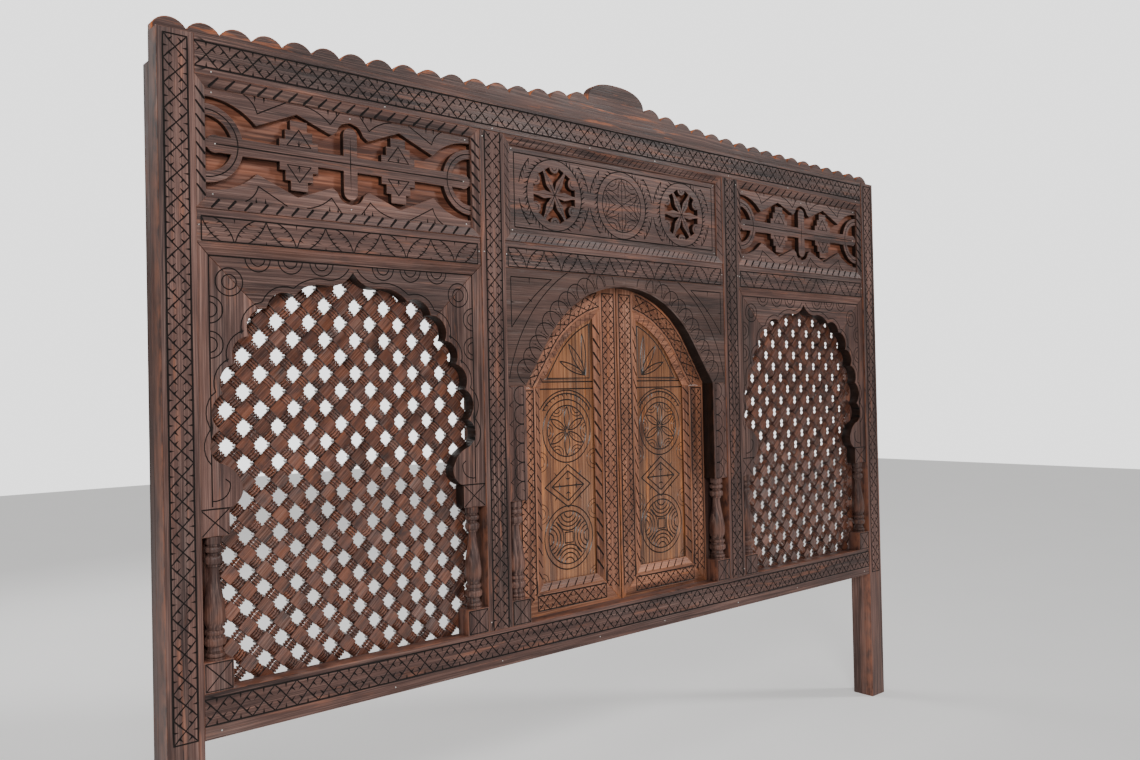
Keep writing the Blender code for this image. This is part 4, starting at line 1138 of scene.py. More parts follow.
def copies(template, places, depth, chance, worn):
    """Copies of a template at (x, z, turn in degrees), each with its own grain and tone."""
    verts, faces = template
    count = len(verts)
    everything, all_faces, grain, tone, rubbed = [], [], [], [], []
    rim = worn(verts)
    for number, (x, z, turn) in enumerate(places):
        c, s = math.cos(math.radians(turn)), math.sin(math.radians(turn))
        turned = np.stack([verts[:, 0] * c - verts[:, 2] * s + x, verts[:, 1] + front(depth),
                           verts[:, 0] * s + verts[:, 2] * c + z], 1)
        everything.append(turned)
        all_faces += [[i + number * count for i in f] for f in faces]
        grain.append(verts[:, [0, 2, 1]] + np.array([chance.random() * 9, chance.random() * 9,
                                                     chance.random() * 3]))
        tone.append(np.full(count, chance.random()))
        rubbed.append(rim * (0.35 + 0.65 * chance.random()))
    return (np.concatenate(everything), all_faces,
            {"grain": np.concatenate(grain), "cut": np.zeros(count * len(places)),
             "worn": np.concatenate(rubbed), "tone": np.concatenate(tone)})


def within(x, z, ranges, margin):
    return all(low + margin < value < high - margin for value, (low, high) in zip((x, z), ranges))


def lattice_places(name, side, ranges):
    """Places of a lattice's blocks and links, each as (x, z, turn in degrees)."""
    shift, drop = LATTICE_PHASE[name]
    start = (side * BAY_CENTRE + shift + HOLE_PITCH / 2, below(drop))
    blocks = []
    for row in range(-ROWS, ROWS + 1):
        for column in range(-COLUMNS, COLUMNS + 1):
            x = start[0] + (column + 0.5 * (row % 2)) * HOLE_PITCH
            z = start[1] + row * HOLE_PITCH / 2
            if within(x, z, ranges, BLOCK_MARGIN):
                blocks.append((x, z, 45))
    half = HOLE_PITCH / 4
    links = {}
    for x, z, _ in blocks:
        for dx, dz in ((half, half), (half, -half), (-half, half), (-half, -half)):
            if within(x + dx, z + dz, ranges, LINK_MARGIN):
                links[(round(x + dx, 5), round(z + dz, 5))] = 45 if dx * dz > 0 else -45
    return blocks, [(x, z, turn) for (x, z), turn in links.items()]


chance = random.Random(7)
for name, side in SIDES.items():
    node = f"{name}_lattice"
    x, z = spans(node)
    face, back = depths(node)
    blocks, links = lattice_places(name, side, (x, z))
    block = bevelled_block(BLOCK_HALF, (back - face) / 2 - 0.0002, BLOCK_BEVEL)
    link = turned_link(HOLE_PITCH / math.sqrt(2) - 2 * BLOCK_HALF)
    mid_depth = (face + back) / 2
    parts = [copies(block, blocks, mid_depth, chance,
                    lambda v: (np.abs(v[:, 1]) > np.abs(v[:, 1]).max() - 1e-5) * 0.5),
             copies(link, links, mid_depth, chance,
                    lambda v: (np.hypot(v[:, 1], v[:, 2]) > LINK_RUBBED_RADIUS) * 0.6)]
    left = x[0] + (OUTER_RIM_WIDTH if side < 0 else RIM_WIDTH)
    right = x[1] - (OUTER_RIM_WIDTH if side > 0 else RIM_WIDTH)
    for x_range, z_range, grain in (((x[0], left), z, 90), ((right, x[1]), z, 90),
                                    ((left, right), (z[0], z[0] + RIM_WIDTH), 0),
                                    ((left, right), (z[1] - RIM_WIDTH, z[1]), 0)):
        parts.append(carved_sheet([rectangle(x_range, z_range)], face, back, along=grain))
    add_piece(f"{node}_turned", merge(parts), lattice_wood, "frame", "dark_wood", [node], smooth=30)


# ---------------------------------------------------------------- turned columns

COLUMN_SIDES = 40
COLUMN_SUNK = 0.004

# Sections from the foot up: (height where it ends, radius at its edges, radius at its middle),
# as fractions of the column's height and largest radius. A larger middle makes a bead.
FOOT_SECTIONS = [(0.020, 0.92, 0.92), (0.060, 0.78, 0.91), (0.072, 0.74, 0.74), (0.112, 0.82, 0.70),
                 (0.185, 0.82, 1.00), (0.200, 0.79, 0.79), (0.245, 0.78, 0.92), (0.262, 0.72, 0.72)]
VASE = [(0.262, 0.74), (0.300, 0.90), (0.345, 0.97), (0.42, 0.93), (0.52, 0.78), (0.63, 0.57),
        (0.71, 0.47), (0.755, 0.46)]
HEAD_SECTIONS = [(0.770, 0.58, 0.58), (0.850, 0.58, 0.82), (0.866, 0.53, 0.53), (0.925, 0.56, 0.80),
                 (0.942, 0.62, 0.62), (1.000, 0.75, 0.75)]


def section_points(sections, start):
    points = []
    low = start
    for high, edge, middle_radius in sections:
        steps = 2 if edge == middle_radius else 9
        for i in range(steps):
            t = i / (steps - 1)
            swell = math.sqrt(max(0.0, 1 - (2 * t - 1) ** 2))
            points.append((low + (high - low) * t, edge + (middle_radius - edge) * swell))
        low = high
    return points


def column_profile():
    vase = [tuple(p) for p in smooth_path(VASE, 5)]
    return section_points(FOOT_SECTIONS, 0.0) + vase + section_points(HEAD_SECTIONS, VASE[-1][0])


def turned_shaft(x, depth, radius, base, top):
    """Closed turned shaft with its foot sunk into the block under it."""
    rings = [(base - COLUMN_SUNK, radius * 0.5), (base - COLUMN_SUNK, radius * 0.92)]
    rings += [(base + (top - base) * h, radius * r) for h, r in column_profile()]
    verts = []
    for z, r in rings:
        for i in range(COLUMN_SIDES):
            a = 2 * math.pi * i / COLUMN_SIDES
            verts.append((x + r * math.cos(a), front(depth) + r * math.sin(a), z))
    verts = np.array(verts)
    faces = tube_faces(len(rings), COLUMN_SIDES)
    faces.append(list(range(COLUMN_SIDES))[::-1])
    faces.append([len(verts) - COLUMN_SIDES + i for i in range(COLUMN_SIDES)])
    seed = next(seeds)
    shift = np.array([seed * 3.71 % 7.0, seed * 1.93 % 5.0, 0])
    ridge = np.array([min(1.0, max(0.0, (r / radius - 0.8) * 4)) for _, r in rings])
    return verts, faces, {"grain": verts[:, [2, 0, 1]] + shift, "cut": np.zeros(len(verts)),
                          "worn": np.repeat(ridge, COLUMN_SIDES) * 0.4,
                          "tone": np.full(len(verts), seed * 0.618 % 1.0)}


def add_column(node, base, radius, shaft_x=None):
    """Column and its carved base block, sized from the CAD node."""
    x, z = spans(node)
    face, back = depths(node)
    inset = 0.0025
    left, right, low, high = x[0] + inset, x[1] - inset, z[0] + inset, base - inset
    cuts = [line((left, low), (right, high)), line((left, high), (right, low))]
    cuts += polygon(rectangle((left, right), (low, high)), FINE_LINE)
    block = carved_sheet([rectangle(x, (z[0], base))], face, back, cuts, along=90)
    shaft = turned_shaft(sum(x) / 2 if shaft_x is None else shaft_x, radius + 0.0005, radius, base, z[1])
    add_piece(f"{node}_turned", merge([block, shaft]), dark_wood, "frame", "dark_wood", [node],
              smooth=35)


WINDOW_BASE_DROP = 0.9893
DOOR_BASE_DROP = 0.9873
DOOR_COLUMN_X = 0.309
for name, side in SIDES.items():
    for position in ("outer", "inner"):
        add_column(f"{name}_window_{position}_column", below(WINDOW_BASE_DROP), 0.017)
    add_column(f"{name}_door_column", below(DOOR_BASE_DROP), 0.020, side * DOOR_COLUMN_X)


# ---------------------------------------------------------------- arch and jambs

ARCH_HALF_WIDTH = 0.2865
ARCH_APEX_DROP = 0.3487
ARCH_RADIUS = 0.268
ARCH_TANGENT_ANGLE = math.radians(56.3)
ARCH_SPRING_DROP = 0.5627
ARCH_CENTRE_DROP = ARCH_APEX_DROP + ARCH_RADIUS
OUTER_ARC_RADIUS = 0.335
ARCH_CHAMFER = 0.0036
FAN_PITCH = 0.0295
FAN_START = 0.055
FAN_HALF_WIDTH = 0.0255
FAN_HEIGHT = 0.0340
FAN_STEPS = 18
JAMB_PITCH = 0.041


def arch_curve(inset, start_x, end_drop, steps):
    """Right side of the arch moved inwards, from start_x out and down to a drop."""
    radius = ARCH_RADIUS - inset
    first = math.asin(start_x / radius)
    points = []
    for step in range(steps + 1):
        turn = first + (ARCH_TANGENT_ANGLE - first) * step / steps
        points.append((radius * math.sin(turn), ARCH_CENTRE_DROP - radius * math.cos(turn)))
    x, drop = points[-1]
    points.append((x + (end_drop - drop) / math.tan(ARCH_TANGENT_ANGLE), end_drop))
    return points


def arch_drop_at(inset, x):
    """Drop at which the straight foot of the arch, moved inwards, reaches an x."""
    radius = ARCH_RADIUS - inset
    start_drop = ARCH_CENTRE_DROP - radius * math.cos(ARCH_TANGENT_ANGLE)
    return start_drop + (x - radius * math.sin(ARCH_TANGENT_ANGLE)) * math.tan(ARCH_TANGENT_ANGLE)


def path_map(path):
    """Map of (distance along, distance across) for a strip that follows a path, and its length."""
    points = np.array(path, float)
    steps = np.linalg.norm(np.diff(points, axis=0), axis=1)
    distance = np.concatenate([[0], np.cumsum(steps)])

    def at(u, v):
        place, near, far = (np.array([np.interp(u + shift, distance, points[:, k]) for k in (0, 1)])
                            for shift in (0, -0.004, 0.004))
        way = (far - near) / (np.linalg.norm(far - near) + 1e-12)
        return (place[0] - way[1] * v, place[1] + way[0] * v)
    return at, float(distance[-1])


def arch_cuts():
    """Cuts on the right half of the arch board, in (x, drop)."""
    corner_x, top, low_drop, near_x = 0.320, 0.3450, 0.446, 0.214
    cuts = [line((near_x, top), (corner_x, top)), line((corner_x, top), (corner_x, low_drop)),
            bowed((corner_x, low_drop), (near_x, top), 0.006),
            tick(((near_x + corner_x) / 2 + 0.006, top), (0, 1), 0.013, 0.0016),
            tick((corner_x, (top + low_drop) / 2), (-1, 0), 0.012, 0.0016),
            tick((0.268, 0.392), (0.75, -0.45), 0.013, 0.0018)]
    outer = [(OUTER_ARC_RADIUS * math.sin(math.radians(a)),
              ARCH_CENTRE_DROP - OUTER_ARC_RADIUS * math.cos(math.radians(a))) for a in range(28, 79, 2)]
    cuts.append(curve([p for p in outer if p[0] < CENTRE_HALF - 0.004]))
    rim, length = path_map(arch_curve(-0.0055, 0.006, ARCH_SPRING_DROP, 30))
    for i in range(int((length - 0.004 - FAN_START) / FAN_PITCH) + 1):
        u = FAN_START + i * FAN_PITCH
        turns = [math.pi * step / FAN_STEPS for step in range(FAN_STEPS + 1)]
        fan = [rim(u + FAN_HALF_WIDTH * math.cos(a), -FAN_HEIGHT * math.sin(a)) for a in turns]
        if all(p[0] < CENTRE_HALF - 0.002 for p in fan):
            cuts.append(curve(fan))
        cuts.append(line(rim(u, -0.001), rim(u + 0.003, -0.0285), FINE_LINE, HAIRLINE))
        for reach in (0.010, 0.019):
            foot = rim(u, -reach)
            lean = Vector(rim(u + 0.006, -reach - 0.004)) - Vector(foot)
            cuts.append(tick(foot, lean, 0.006, 0.0010))
    return [c for c in cuts if max(p[0] for p in c[0]) < CENTRE_HALF - 0.001]


right = arch_curve(0, 0, ARCH_SPRING_DROP, 40)
half_outline = right + [(CENTRE_HALF, ARCH_SPRING_DROP), (CENTRE_HALF, WINDOW_TOP_DROP)]
outline = placed(half_outline + mirrored(half_outline[1:]), 0)
half_rim = [ARCH_CHAMFER] * (len(right) - 1) + [CHAMFER] * 3
cuts = [line((0, below(WINDOW_TOP_DROP)), (0, below(ARCH_APEX_DROP)), HAIRLINE)]
for side in (-1, 1):
    cuts += placed_cuts(arch_cuts(), 0, side)
carve("arch_board", arch_wood, cuts, [outline], chamfer=half_rim + half_rim[:0:-1])

for name, side in SIDES.items():
    node = f"{name}_door_jamb"
    bottom, top = spans(node)[1]
    edge = side * (ARCH_HALF_WIDTH + 0.0075)
    far = side * (CENTRE_HALF - 0.004)
    cuts = [line((edge, bottom), (edge, top), FINE_LINE)]
    count = round((top - bottom) / JAMB_PITCH)
    pitch = (top - bottom) / count
    for i in range(count):
        low, high = bottom + i * pitch, bottom + (i + 1) * pitch
        cuts += [bowed((edge, low + 0.001), (edge, high - 0.001), side * -0.0235, 14),
                 line((far, low), (edge + side * 0.012, low + pitch * 0.5), FINE_LINE, HAIRLINE),
                 tick((far, high), (-side, -0.8), 0.011, 0.0013),
                 tick((edge, (low + high) / 2), (side, 0.5), 0.010, 0.0013)]
    carve(node, pierced_wood_shaded_walls, cuts, along=90)


# ---------------------------------------------------------------- door leaves

LEAF_EDGE = 0.285
LEAF_MEETING = 0.0015
LEAF_SEAM_DROP = 0.5671
LEAF_BOTTOM_DROP = 1.0415
LEAF_STILE_WIDTH = 0.049
LEAF_RAIL_HEIGHT = 0.051
LEAF_HEAD_WIDTH = 0.042
LEAF_OVERLAP = 0.004
LEAF_MOULDING_WIDTH = 0.0166
LEAF_MOULDING_FALL = 0.0055
LEAF_INNER = LEAF_MEETING + LEAF_STILE_WIDTH
LEAF_OUTER = LEAF_EDGE - LEAF_STILE_WIDTH
LEAF_RAIL_TOP = LEAF_BOTTOM_DROP - LEAF_RAIL_HEIGHT
LEAF_BAND_HALF = 0.0175
PANEL_LINE = 0.0016
LEAF_CELL = 0.0345
LEAF_RAIL_CELL = 0.032
LEAF_NARROW_BAND_HALF = 0.0155
HEAD_GRAIN = 38
PANEL_U = (LEAF_INNER + LEAF_OUTER) / 2
ROSETTE_DROP, DIAMOND_DROP, SHIELD_DROP = 0.6603, 0.7773, 0.8873
HALO_RADII = (0.0800, 0.0870)
FIELD_FOOT_DROP = 0.5475


def distance_to(path):
    """Distance from points (x, z) to a closed path."""
    a = np.array(path, float)
    b = np.roll(a, -1, 0)
    run = b - a
    length2 = (run ** 2).sum(1) + 1e-14

    def away(x, z):
        rel = np.stack([x, z], 1)[:, None, :] - a[None]
        t = np.clip((rel * run[None]).sum(2) / length2, 0, 1)
        return np.sqrt(((rel - t[..., None] * run[None]) ** 2).sum(2)).min(1)
    return away


def leaf_outlines():
    """Outlines of a leaf's six pieces as (distance from the centre line, drop) points."""
    top_edge = arch_curve(-LEAF_OVERLAP, LEAF_MEETING, LEAF_SEAM_DROP, 30)
    foot = [(LEAF_MEETING, LEAF_BOTTOM_DROP), (LEAF_EDGE, LEAF_BOTTOM_DROP)]
    meeting = top_edge + [(LEAF_EDGE, LEAF_SEAM_DROP)] + list(reversed(foot))
    meeting = clip(meeting, (LEAF_INNER, 0), (-1, 0))
    meeting = clip(meeting, (LEAF_INNER, LEAF_RAIL_TOP), (-1, -LEAF_STILE_WIDTH / LEAF_RAIL_HEIGHT))
    hinge = [(LEAF_OUTER, LEAF_SEAM_DROP), (LEAF_EDGE, LEAF_SEAM_DROP), foot[1],
             (LEAF_OUTER, LEAF_RAIL_TOP)]
    rail = [(LEAF_INNER + GAP, LEAF_RAIL_TOP), (LEAF_OUTER - GAP, LEAF_RAIL_TOP),
            (LEAF_EDGE - 2 * GAP, LEAF_BOTTOM_DROP), (LEAF_MEETING + 2 * GAP, LEAF_BOTTOM_DROP)]
    seam = LEAF_SEAM_DROP - GAP
    shoulder_drop = arch_drop_at(-LEAF_OVERLAP, LEAF_EDGE)
    outside = arch_curve(-LEAF_OVERLAP, LEAF_INNER + GAP, shoulder_drop, 28) + [(LEAF_EDGE, seam)]
    inside_edge = arch_curve(LEAF_HEAD_WIDTH, LEAF_INNER + GAP, seam, 24)
    inside_edge[-1] = (LEAF_OUTER, seam)
    head_outline = outside + list(reversed(inside_edge))
    corner_drop = LEAF_RAIL_TOP - GAP

    def field(inset, low):
        left, right = LEAF_INNER + max(inset, 2 * GAP), LEAF_OUTER - max(inset, GAP)
        path = arch_curve(LEAF_HEAD_WIDTH + inset, left, LEAF_SEAM_DROP, 24)
        return path[:-1] + [(right, LEAF_SEAM_DROP), (right, low), (left, low)]

    return {"meeting_stile": meeting, "hinge_stile": hinge, "bottom_rail": rail, "head": head_outline,
            "field": field(GAP, corner_drop),
            "sight": field(LEAF_MOULDING_WIDTH, corner_drop - LEAF_MOULDING_WIDTH)}


def lens(root, tip, swell):
    """Leaf drawn with two bows and a vein."""
    vein_end = tuple(Vector(root).lerp(Vector(tip), 0.8))
    return [bowed(root, tip, swell, half=PANEL_LINE), bowed(root, tip, -swell, half=PANEL_LINE),
            line(root, vein_end, LINE, HAIRLINE)]


def double_ring(u, drop, radius, ring_gap):
    return [ring((u, drop), radius, PANEL_LINE, 60), ring((u, drop), radius + ring_gap, PANEL_LINE, 68)]


def rosette_motif(u, drop, radius, ring_gap):
    """Double ring with a six-petalled flower and a pair of arcs between each two petals."""
    cuts = double_ring(u, drop, radius, ring_gap)
    for i in range(6):
        a = math.radians(90 + 60 * i)
        root, tip = polar(0.004, a), polar(radius * 0.95, a)
        cuts += lens((u + root.x, drop + root.y), (u + tip.x, drop + tip.y), radius * 0.135)
        pole = polar(radius + 0.002, a + math.radians(30))
        cuts += [lobe((u + pole.x, drop + pole.y), radius * size, math.degrees(a) + 30 + 180, 70, 14)
                 for size in (0.33, 0.20)]
    return cuts


def diamond_motif(u, drop, half_u, half_drop):
    corners = [(half_u, 0), (0, half_drop), (-half_u, 0), (0, -half_drop)]
    cuts = []
    for scale in (1.0, 0.70):
        cuts += polygon([(u + x * scale, drop + d * scale) for x, d in corners], PANEL_LINE)
    cuts += [line((u - half_u * 0.66, drop), (u + half_u * 0.66, drop), PANEL_LINE),
             line((u, drop - half_drop * 0.66), (u, drop + half_drop * 0.66), PANEL_LINE)]
    for sx in (-1, 1):
        for sd in (-1, 1):
            cuts += [tick((u + sx * half_u * 0.36, drop), (sx * 0.25, sd), 0.010),
                     tick((u, drop + sd * half_drop * 0.30), (sx, sd * 0.5), 0.010),
                     tick((u + sx * half_u * 0.5, drop + sd * half_drop * 0.5), (sx, sd * 1.3), 0.011)]
    return cuts


def shield_motif(u, drop, radius, ring_gap):
    """Double ring with four groups of nested arcs round a small square."""
    square = radius * 0.20
    cuts = double_ring(u, drop, radius, ring_gap)
    cuts += polygon(rectangle((u - square, u + square), (drop - square, drop + square)), PANEL_LINE)
    for i in range(4):
        pole = polar(radius, math.radians(90 * i))
        cuts += [lobe((u + pole.x, drop + pole.y), radius * size, 90 * i + 180, spread, 20, PANEL_LINE)
                 for size, spread in ((0.24, 84), (0.42, 76), (0.58, 68), (0.73, 60))]
    return cuts


def panel_cuts():
    """Cuts on a leaf's panel, as (distance from the centre line, drop)."""
    half_width = (LEAF_OUTER - LEAF_INNER) / 2 - LEAF_MOULDING_WIDTH
    left, right = PANEL_U - half_width, PANEL_U + half_width
    cuts = [line((left, d), (right, d), PANEL_LINE) for d in (0.5553, 0.5703)]
    cuts += rosette_motif(PANEL_U, ROSETTE_DROP, 0.0545, 0.0125)
    cuts += [lobe((PANEL_U, ROSETTE_DROP), radius, 270, 56, 30, PANEL_LINE) for radius in HALO_RADII]
    for i in range(13):
        a = math.radians(270 - 54 + 9 * i)
        foot = polar(HALO_RADII[0], a)
        cuts.append(tick((PANEL_U + foot.x, ROSETTE_DROP + foot.y), -polar(1, a + 0.4), 0.0095))
    cuts += diamond_motif(PANEL_U, DIAMOND_DROP, 0.0640, 0.0455)
    cuts += shield_motif(PANEL_U, SHIELD_DROP, 0.0560, 0.0115)
    low = LEAF_RAIL_TOP - LEAF_MOULDING_WIDTH
    for x, inward, corner_way in ((left, 0, 315), (right, 180, 225)):
        cuts += [lobe((x, d), size, inward, 90, 14, FINE_LINE) for d in (0.7230, 0.8320)
                 for size in (0.012, 0.021)]
        cuts += [lobe((x, low), size, corner_way, 45, 8, FINE_LINE) for size in (0.010, 0.018)]
    start = left + 0.008
    edge = arch_curve(LEAF_HEAD_WIDTH + LEAF_MOULDING_WIDTH + 0.008, start, FIELD_FOOT_DROP, 24)
    cuts += [curve(edge, PANEL_LINE), line((start, edge[0][1]), (start, FIELD_FOOT_DROP)),
             line((start, FIELD_FOOT_DROP), (edge[-1][0], FIELD_FOOT_DROP))]
    for tip, swell in (((left + 0.028, 0.452), 0.006), ((left + 0.066, 0.475), 0.008),
                       ((left + 0.092, 0.512), 0.007)):
        cuts += lens((left + 0.020, 0.541), tip, swell)
    return cuts


def leaf_moulding_cuts(field, side):
    """Slashes on the leaf's moulding, which lean the same way on both leaves."""
    inner_u = LEAF_INNER + LEAF_MOULDING_WIDTH / 2
    outer_u = LEAF_OUTER - LEAF_MOULDING_WIDTH / 2
    low = LEAF_RAIL_TOP - LEAF_MOULDING_WIDTH / 2
    top = field[0][1] + 0.030
    wide = LEAF_MOULDING_WIDTH * 0.82
    down, across = (0, 1), (1, 0)
    cuts = slashes((inner_u, top), down, across, low - 0.012 - top, wide, 0.0300, side * 1.5, 0.0026)
    cuts += slashes((outer_u, LEAF_SEAM_DROP), down, across, low - 0.012 - LEAF_SEAM_DROP, wide,
                    0.0260, side * 1.2, 0.0019)
    cuts += slashes((inner_u + 0.012, low), across, down, outer_u - inner_u - 0.024, wide,
                    0.0230, side * -0.9, 0.0017)
    at, length = path_map(arch_curve(LEAF_HEAD_WIDTH + LEAF_MOULDING_WIDTH / 2, inner_u + 0.010,
                                     LEAF_SEAM_DROP - 0.006, 24))
    pitch = 0.0155
    for i in range(round(length / pitch)):
        u = (i + 0.5) * pitch
        cuts.append(line(at(u - 0.0015, -wide / 2), at(u + 0.0015, wide / 2), FINE_LINE))
    return placed_cuts(cuts, 0, side)


def leaf_moulding(side, shapes, near, back):
    """Sloping moulding round the panel, in mitred lengths with slashes."""
    field, sight = shapes["field"], shapes["sight"]
    to_sight = distance_to(placed(sight, 0, side))

    def sloped(x, z):
        away = to_sight(x, z) / LEAF_MOULDING_WIDTH
        return near + LEAF_MOULDING_FALL * (1 - np.clip(away, 0, 1))

    cuts = leaf_moulding_cuts(field, side)
    last = len(field) - 3
    pieces = [(field[:last + 1] + sight[:last + 1][::-1], 0)]
    for i, j, grain in ((last, last + 1, 90), (last + 1, last + 2, 0), (last + 2, 0, 90)):
        pieces.append(([field[i], field[j], sight[j], sight[i]], grain))
    return merge([carved_sheet([placed(outline, 0, side)], sloped, back, cuts, along=grain,
                               chamfer=MOULDING_CHAMFER) for outline, grain in pieces])


def leaf_frame_cuts():
    """Bands on the four pieces of a leaf's frame, by piece, in (distance, drop)."""
    down, across = (0, 1), (1, 0)
    strip = LEAF_STILE_WIDTH / 2
    meeting_u, hinge_u = LEAF_MEETING + strip, LEAF_EDGE - strip
    top = arch_curve(0, meeting_u, LEAF_SEAM_DROP, 4)[0][1] + 0.012
    hinge_top = LEAF_SEAM_DROP + 0.006
    low = LEAF_BOTTOM_DROP - LEAF_RAIL_HEIGHT / 2 - 0.006
    at, length = path_map(arch_curve(LEAF_HEAD_WIDTH / 2, LEAF_INNER + 0.006,
                                     LEAF_SEAM_DROP - 0.006, 30))
    head = criss_cross(at, length, LEAF_NARROW_BAND_HALF, LEAF_CELL)
    for v in (-LEAF_NARROW_BAND_HALF, LEAF_NARROW_BAND_HALF):
        head.append(curve([at(length * i / 36, v) for i in range(37)], BORDER_LINE))
    return {
        "meeting_stile": band((meeting_u, top), down, across, low - top, LEAF_BAND_HALF,
                              (True, False), LEAF_CELL),
        "hinge_stile": band((hinge_u, hinge_top), down, across, low - hinge_top, LEAF_BAND_HALF,
                            (True, False), LEAF_CELL),
        "bottom_rail": band((LEAF_INNER - 0.004, LEAF_RAIL_TOP + 0.0225), across, down,
                            LEAF_OUTER - LEAF_INNER + 0.008, 0.0150, (True, True), LEAF_RAIL_CELL),
        "head": head,
    }


for name, side in SIDES.items():
    body = f"{name}_door"
    shapes = leaf_outlines()
    grains = {"meeting_stile": 90, "hinge_stile": 90, "bottom_rail": 0, "head": side * -HEAD_GRAIN}
    for piece, cuts in leaf_frame_cuts().items():
        carve(f"{body}_{piece}", door_wood, placed_cuts(cuts, 0, side), [placed(shapes[piece], 0, side)],
              body=body, slot="door_wood", along=grains[piece])
    carve(f"{body}_panel", panel_wood, placed_cuts(panel_cuts(), 0, side),
          [placed(shapes["field"], 0, side)], body=body, slot="door_wood", along=90)
    node = f"{body}_moulding"
    add_piece(f"{node}_slashed", leaf_moulding(side, shapes, *depths(node)), door_wood, body,
              "door_wood", [node])


# ---------------------------------------------------------------- nails and screws

NAIL_RADIUS = 0.0013
STILE_NAIL_X = 0.3852
STILE_NAIL_DROPS = (0.075, 0.300, 1.020)
RAIL_NAIL_X = (0.10, 0.36, 0.60, 0.915)
RAIL_NAIL_DROPS = {"bottom_rail": 1.0990, "top_rail": 0.0560}
SCREW_RADIUS = 0.0030
SCREW_SLOT_DEGREES = 12
PLATE_THICKNESS = 0.0014
HINGE_X = 0.2865
HINGE_DROPS = (0.655, 0.945)
SCREW_OFFSET = 0.0140
SCREW_SPACING = 0.0210

# Nails on a key panel as (x, height) from its centre, and on the rosette panel
KEY_NAILS = [(KNOB_OFFSET, 0), (-KNOB_OFFSET, 0), (0.246, 0.0815), (-0.246, 0.0815),
             (0.246, -0.0815), (-0.246, -0.0815), (0, 0.0800), (0, -0.0800)]
ROSETTE_NAILS = [(0.3085, -0.0820), (0.3085, 0.0820)]


def nail(x, z, near):
    """Nail head standing a little proud of a board."""
    disc = circle_arc((x, z), NAIL_RADIUS, 0, 360, 12)[:-1]
    return carved_sheet([disc], near - 0.0004, near + 0.0008, chamfer=0.0004)


def screw_head(x, z, near):
    """Slotted screw head on the back of a plate."""
    disc = circle_arc((x, z), SCREW_RADIUS, 0, 360, 20)[:-1]
    parts = [carved_sheet([disc], near, near + 0.0004, chamfer=0)]
    for start in (SCREW_SLOT_DEGREES, 180 + SCREW_SLOT_DEGREES):
        half = circle_arc((x, z), SCREW_RADIUS, start, start + 180 - 2 * SCREW_SLOT_DEGREES, 10)
        parts.append(carved_sheet([half], near + 0.0003, near + 0.0009, chamfer=0))
    return merge(parts)


nails = []
panel_face = depths("left_key_panel")[0]
for name, side in SIDES.items():
    spots = [(side * BAY_CENTRE + u, height) for u, height in KEY_NAILS]
    spots += [(side * u, height) for u, height in ROSETTE_NAILS]
    nails += [nail(x, panel_level + height, panel_face) for x, height in spots]
    for node in ("left_leaf_rail", "centre_leaf_rail", "right_leaf_rail"):
        x, z = spans(node)
        nails.append(nail(sum(x) / 2 + side * ((x[1] - x[0]) / 2 - 0.0042), sum(z) / 2, depths(node)[0]))
    nails += [nail(side * STILE_NAIL_X, below(drop), depths(f"{name}_mid_stile")[0])
              for drop in STILE_NAIL_DROPS]
    for x in RAIL_NAIL_X:
        nails += [nail(side * x, below(drop), depths(node)[0]) for node, drop in RAIL_NAIL_DROPS.items()]
add_piece("nails", merge(nails), nail_steel, "frame", "steel")

for name, side in SIDES.items():
    plate_back = depths(f"{name}_door_upper_hinge_leaf_plate")[0] + PLATE_THICKNESS
    for part, body, way in (("frame", "frame", 1), ("leaf", f"{name}_door", -1)):
        x = side * (HINGE_X + way * SCREW_OFFSET)
        heads = [screw_head(x, below(drop) + step * SCREW_SPACING, plate_back)
                 for drop in HINGE_DROPS for step in (-1, 0, 1)]
        add_piece(f"{name}_hinge_{part}_screws", merge(heads), nail_steel, body, "steel")


# ---------------------------------------------------------------- floor, light and camera

floor_mesh = bpy.data.meshes.new("floor")
floor_mesh.from_pydata([(x, y, 0) for x, y in rectangle((-9, 9), (-9, 9))], [], [(0, 1, 2, 3)])
floor = bpy.data.objects.new("floor", floor_mesh)
bpy.context.scene.collection.objects.link(floor)
pale = Nodes("pale_floor")
pale.put(pale.mix(pale.noise(pale.place(), (3, 3, 3)), (0.80, 0.79, 0.78, 1), (0.86, 0.85, 0.84, 1)),
         pale.shader.inputs["Base Color"])
pale.shader.inputs["Roughness"].default_value = 0.7
pale.shader.inputs["Emission Color"].default_value = (1.0, 0.99, 0.98, 1)
pale.shader.inputs["Emission Strength"].default_value = 0.22
floor_mesh.materials.append(pale.material)

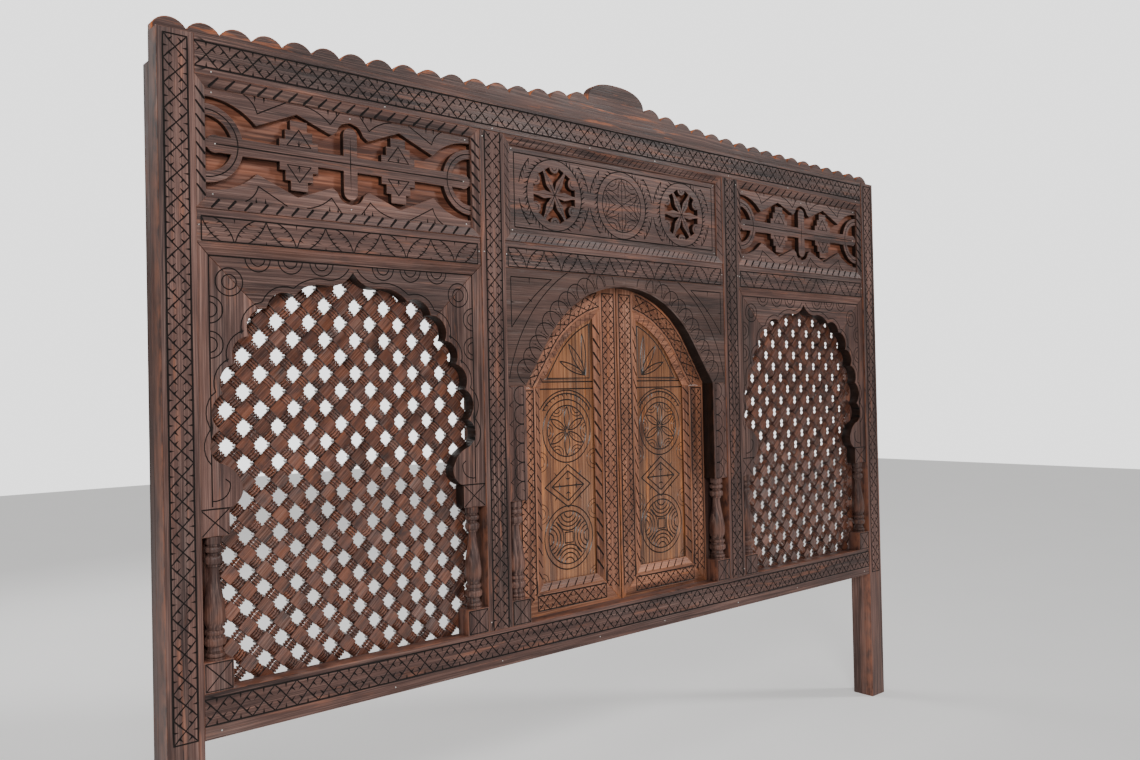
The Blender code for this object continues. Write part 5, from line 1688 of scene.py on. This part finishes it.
# The world is brighter to the camera than to the scene it lights.
WORLD_LIGHT, WORLD_SEEN = 0.20, 2.1
world = bpy.data.worlds.new("studio")
world.use_nodes = True
background = world.node_tree.nodes["Background"]
seen = world.node_tree.nodes.new("ShaderNodeLightPath")
level = world.node_tree.nodes.new("ShaderNodeMapRange")
level.inputs["To Min"].default_value = WORLD_LIGHT
level.inputs["To Max"].default_value = WORLD_SEEN
world.node_tree.links.new(seen.outputs["Is Camera Ray"], level.inputs["Value"])
world.node_tree.links.new(level.outputs["Result"], background.inputs["Strength"])
background.inputs["Color"].default_value = (1.0, 1.0, 1.0, 1)
bpy.context.scene.world = world


def add_lamp(name, kind, energy, location, toward):
    data = bpy.data.lights.new(name, kind)
    data.energy = energy
    lamp = bpy.data.objects.new(name, data)
    lamp.location = location
    lamp.rotation_euler = Vector(toward).to_track_quat("-Z", "Y").to_euler()
    bpy.context.scene.collection.objects.link(lamp)
    return data


def add_disk(name, location, target, size, power):
    data = add_lamp(name, "AREA", power, location, Vector(target) - Vector(location))
    data.shape = "DISK"
    data.size = size


def add_sun(name, toward, spread_degrees, strength):
    add_lamp(name, "SUN", strength, (0, 0, 0), toward).angle = math.radians(spread_degrees)


add_sun("key_sun", (-1.15, 1.0, -0.80), 10, 1.65)
add_sun("overhead_sun", (0.05, 0.12, -1.0), 40, 0.55)
add_disk("fill_light", (-2.0, -2.5, 1.9), (-0.9, 0, 1.1), 1.0, 70)
add_disk("back_light", (-0.6, 3.0, 2.4), (0, 0, 0.8), 2.0, 45)

camera_data = bpy.data.cameras.new("camera")
camera_data.sensor_width = 36
camera_data.lens = 30.8
camera = bpy.data.objects.new("camera", camera_data)
bpy.context.scene.collection.objects.link(camera)
heading, pitch, roll = math.radians(41.2), math.radians(0.67), math.radians(-1.20)
camera.matrix_world = (Matrix.Translation((-1.511, -1.561, 0.880))
                       @ Matrix.Rotation(-heading, 4, "Z")
                       @ Matrix.Rotation(math.radians(90) + pitch, 4, "X")
                       @ Matrix.Rotation(roll, 4, "Z"))
bpy.context.scene.camera = camera
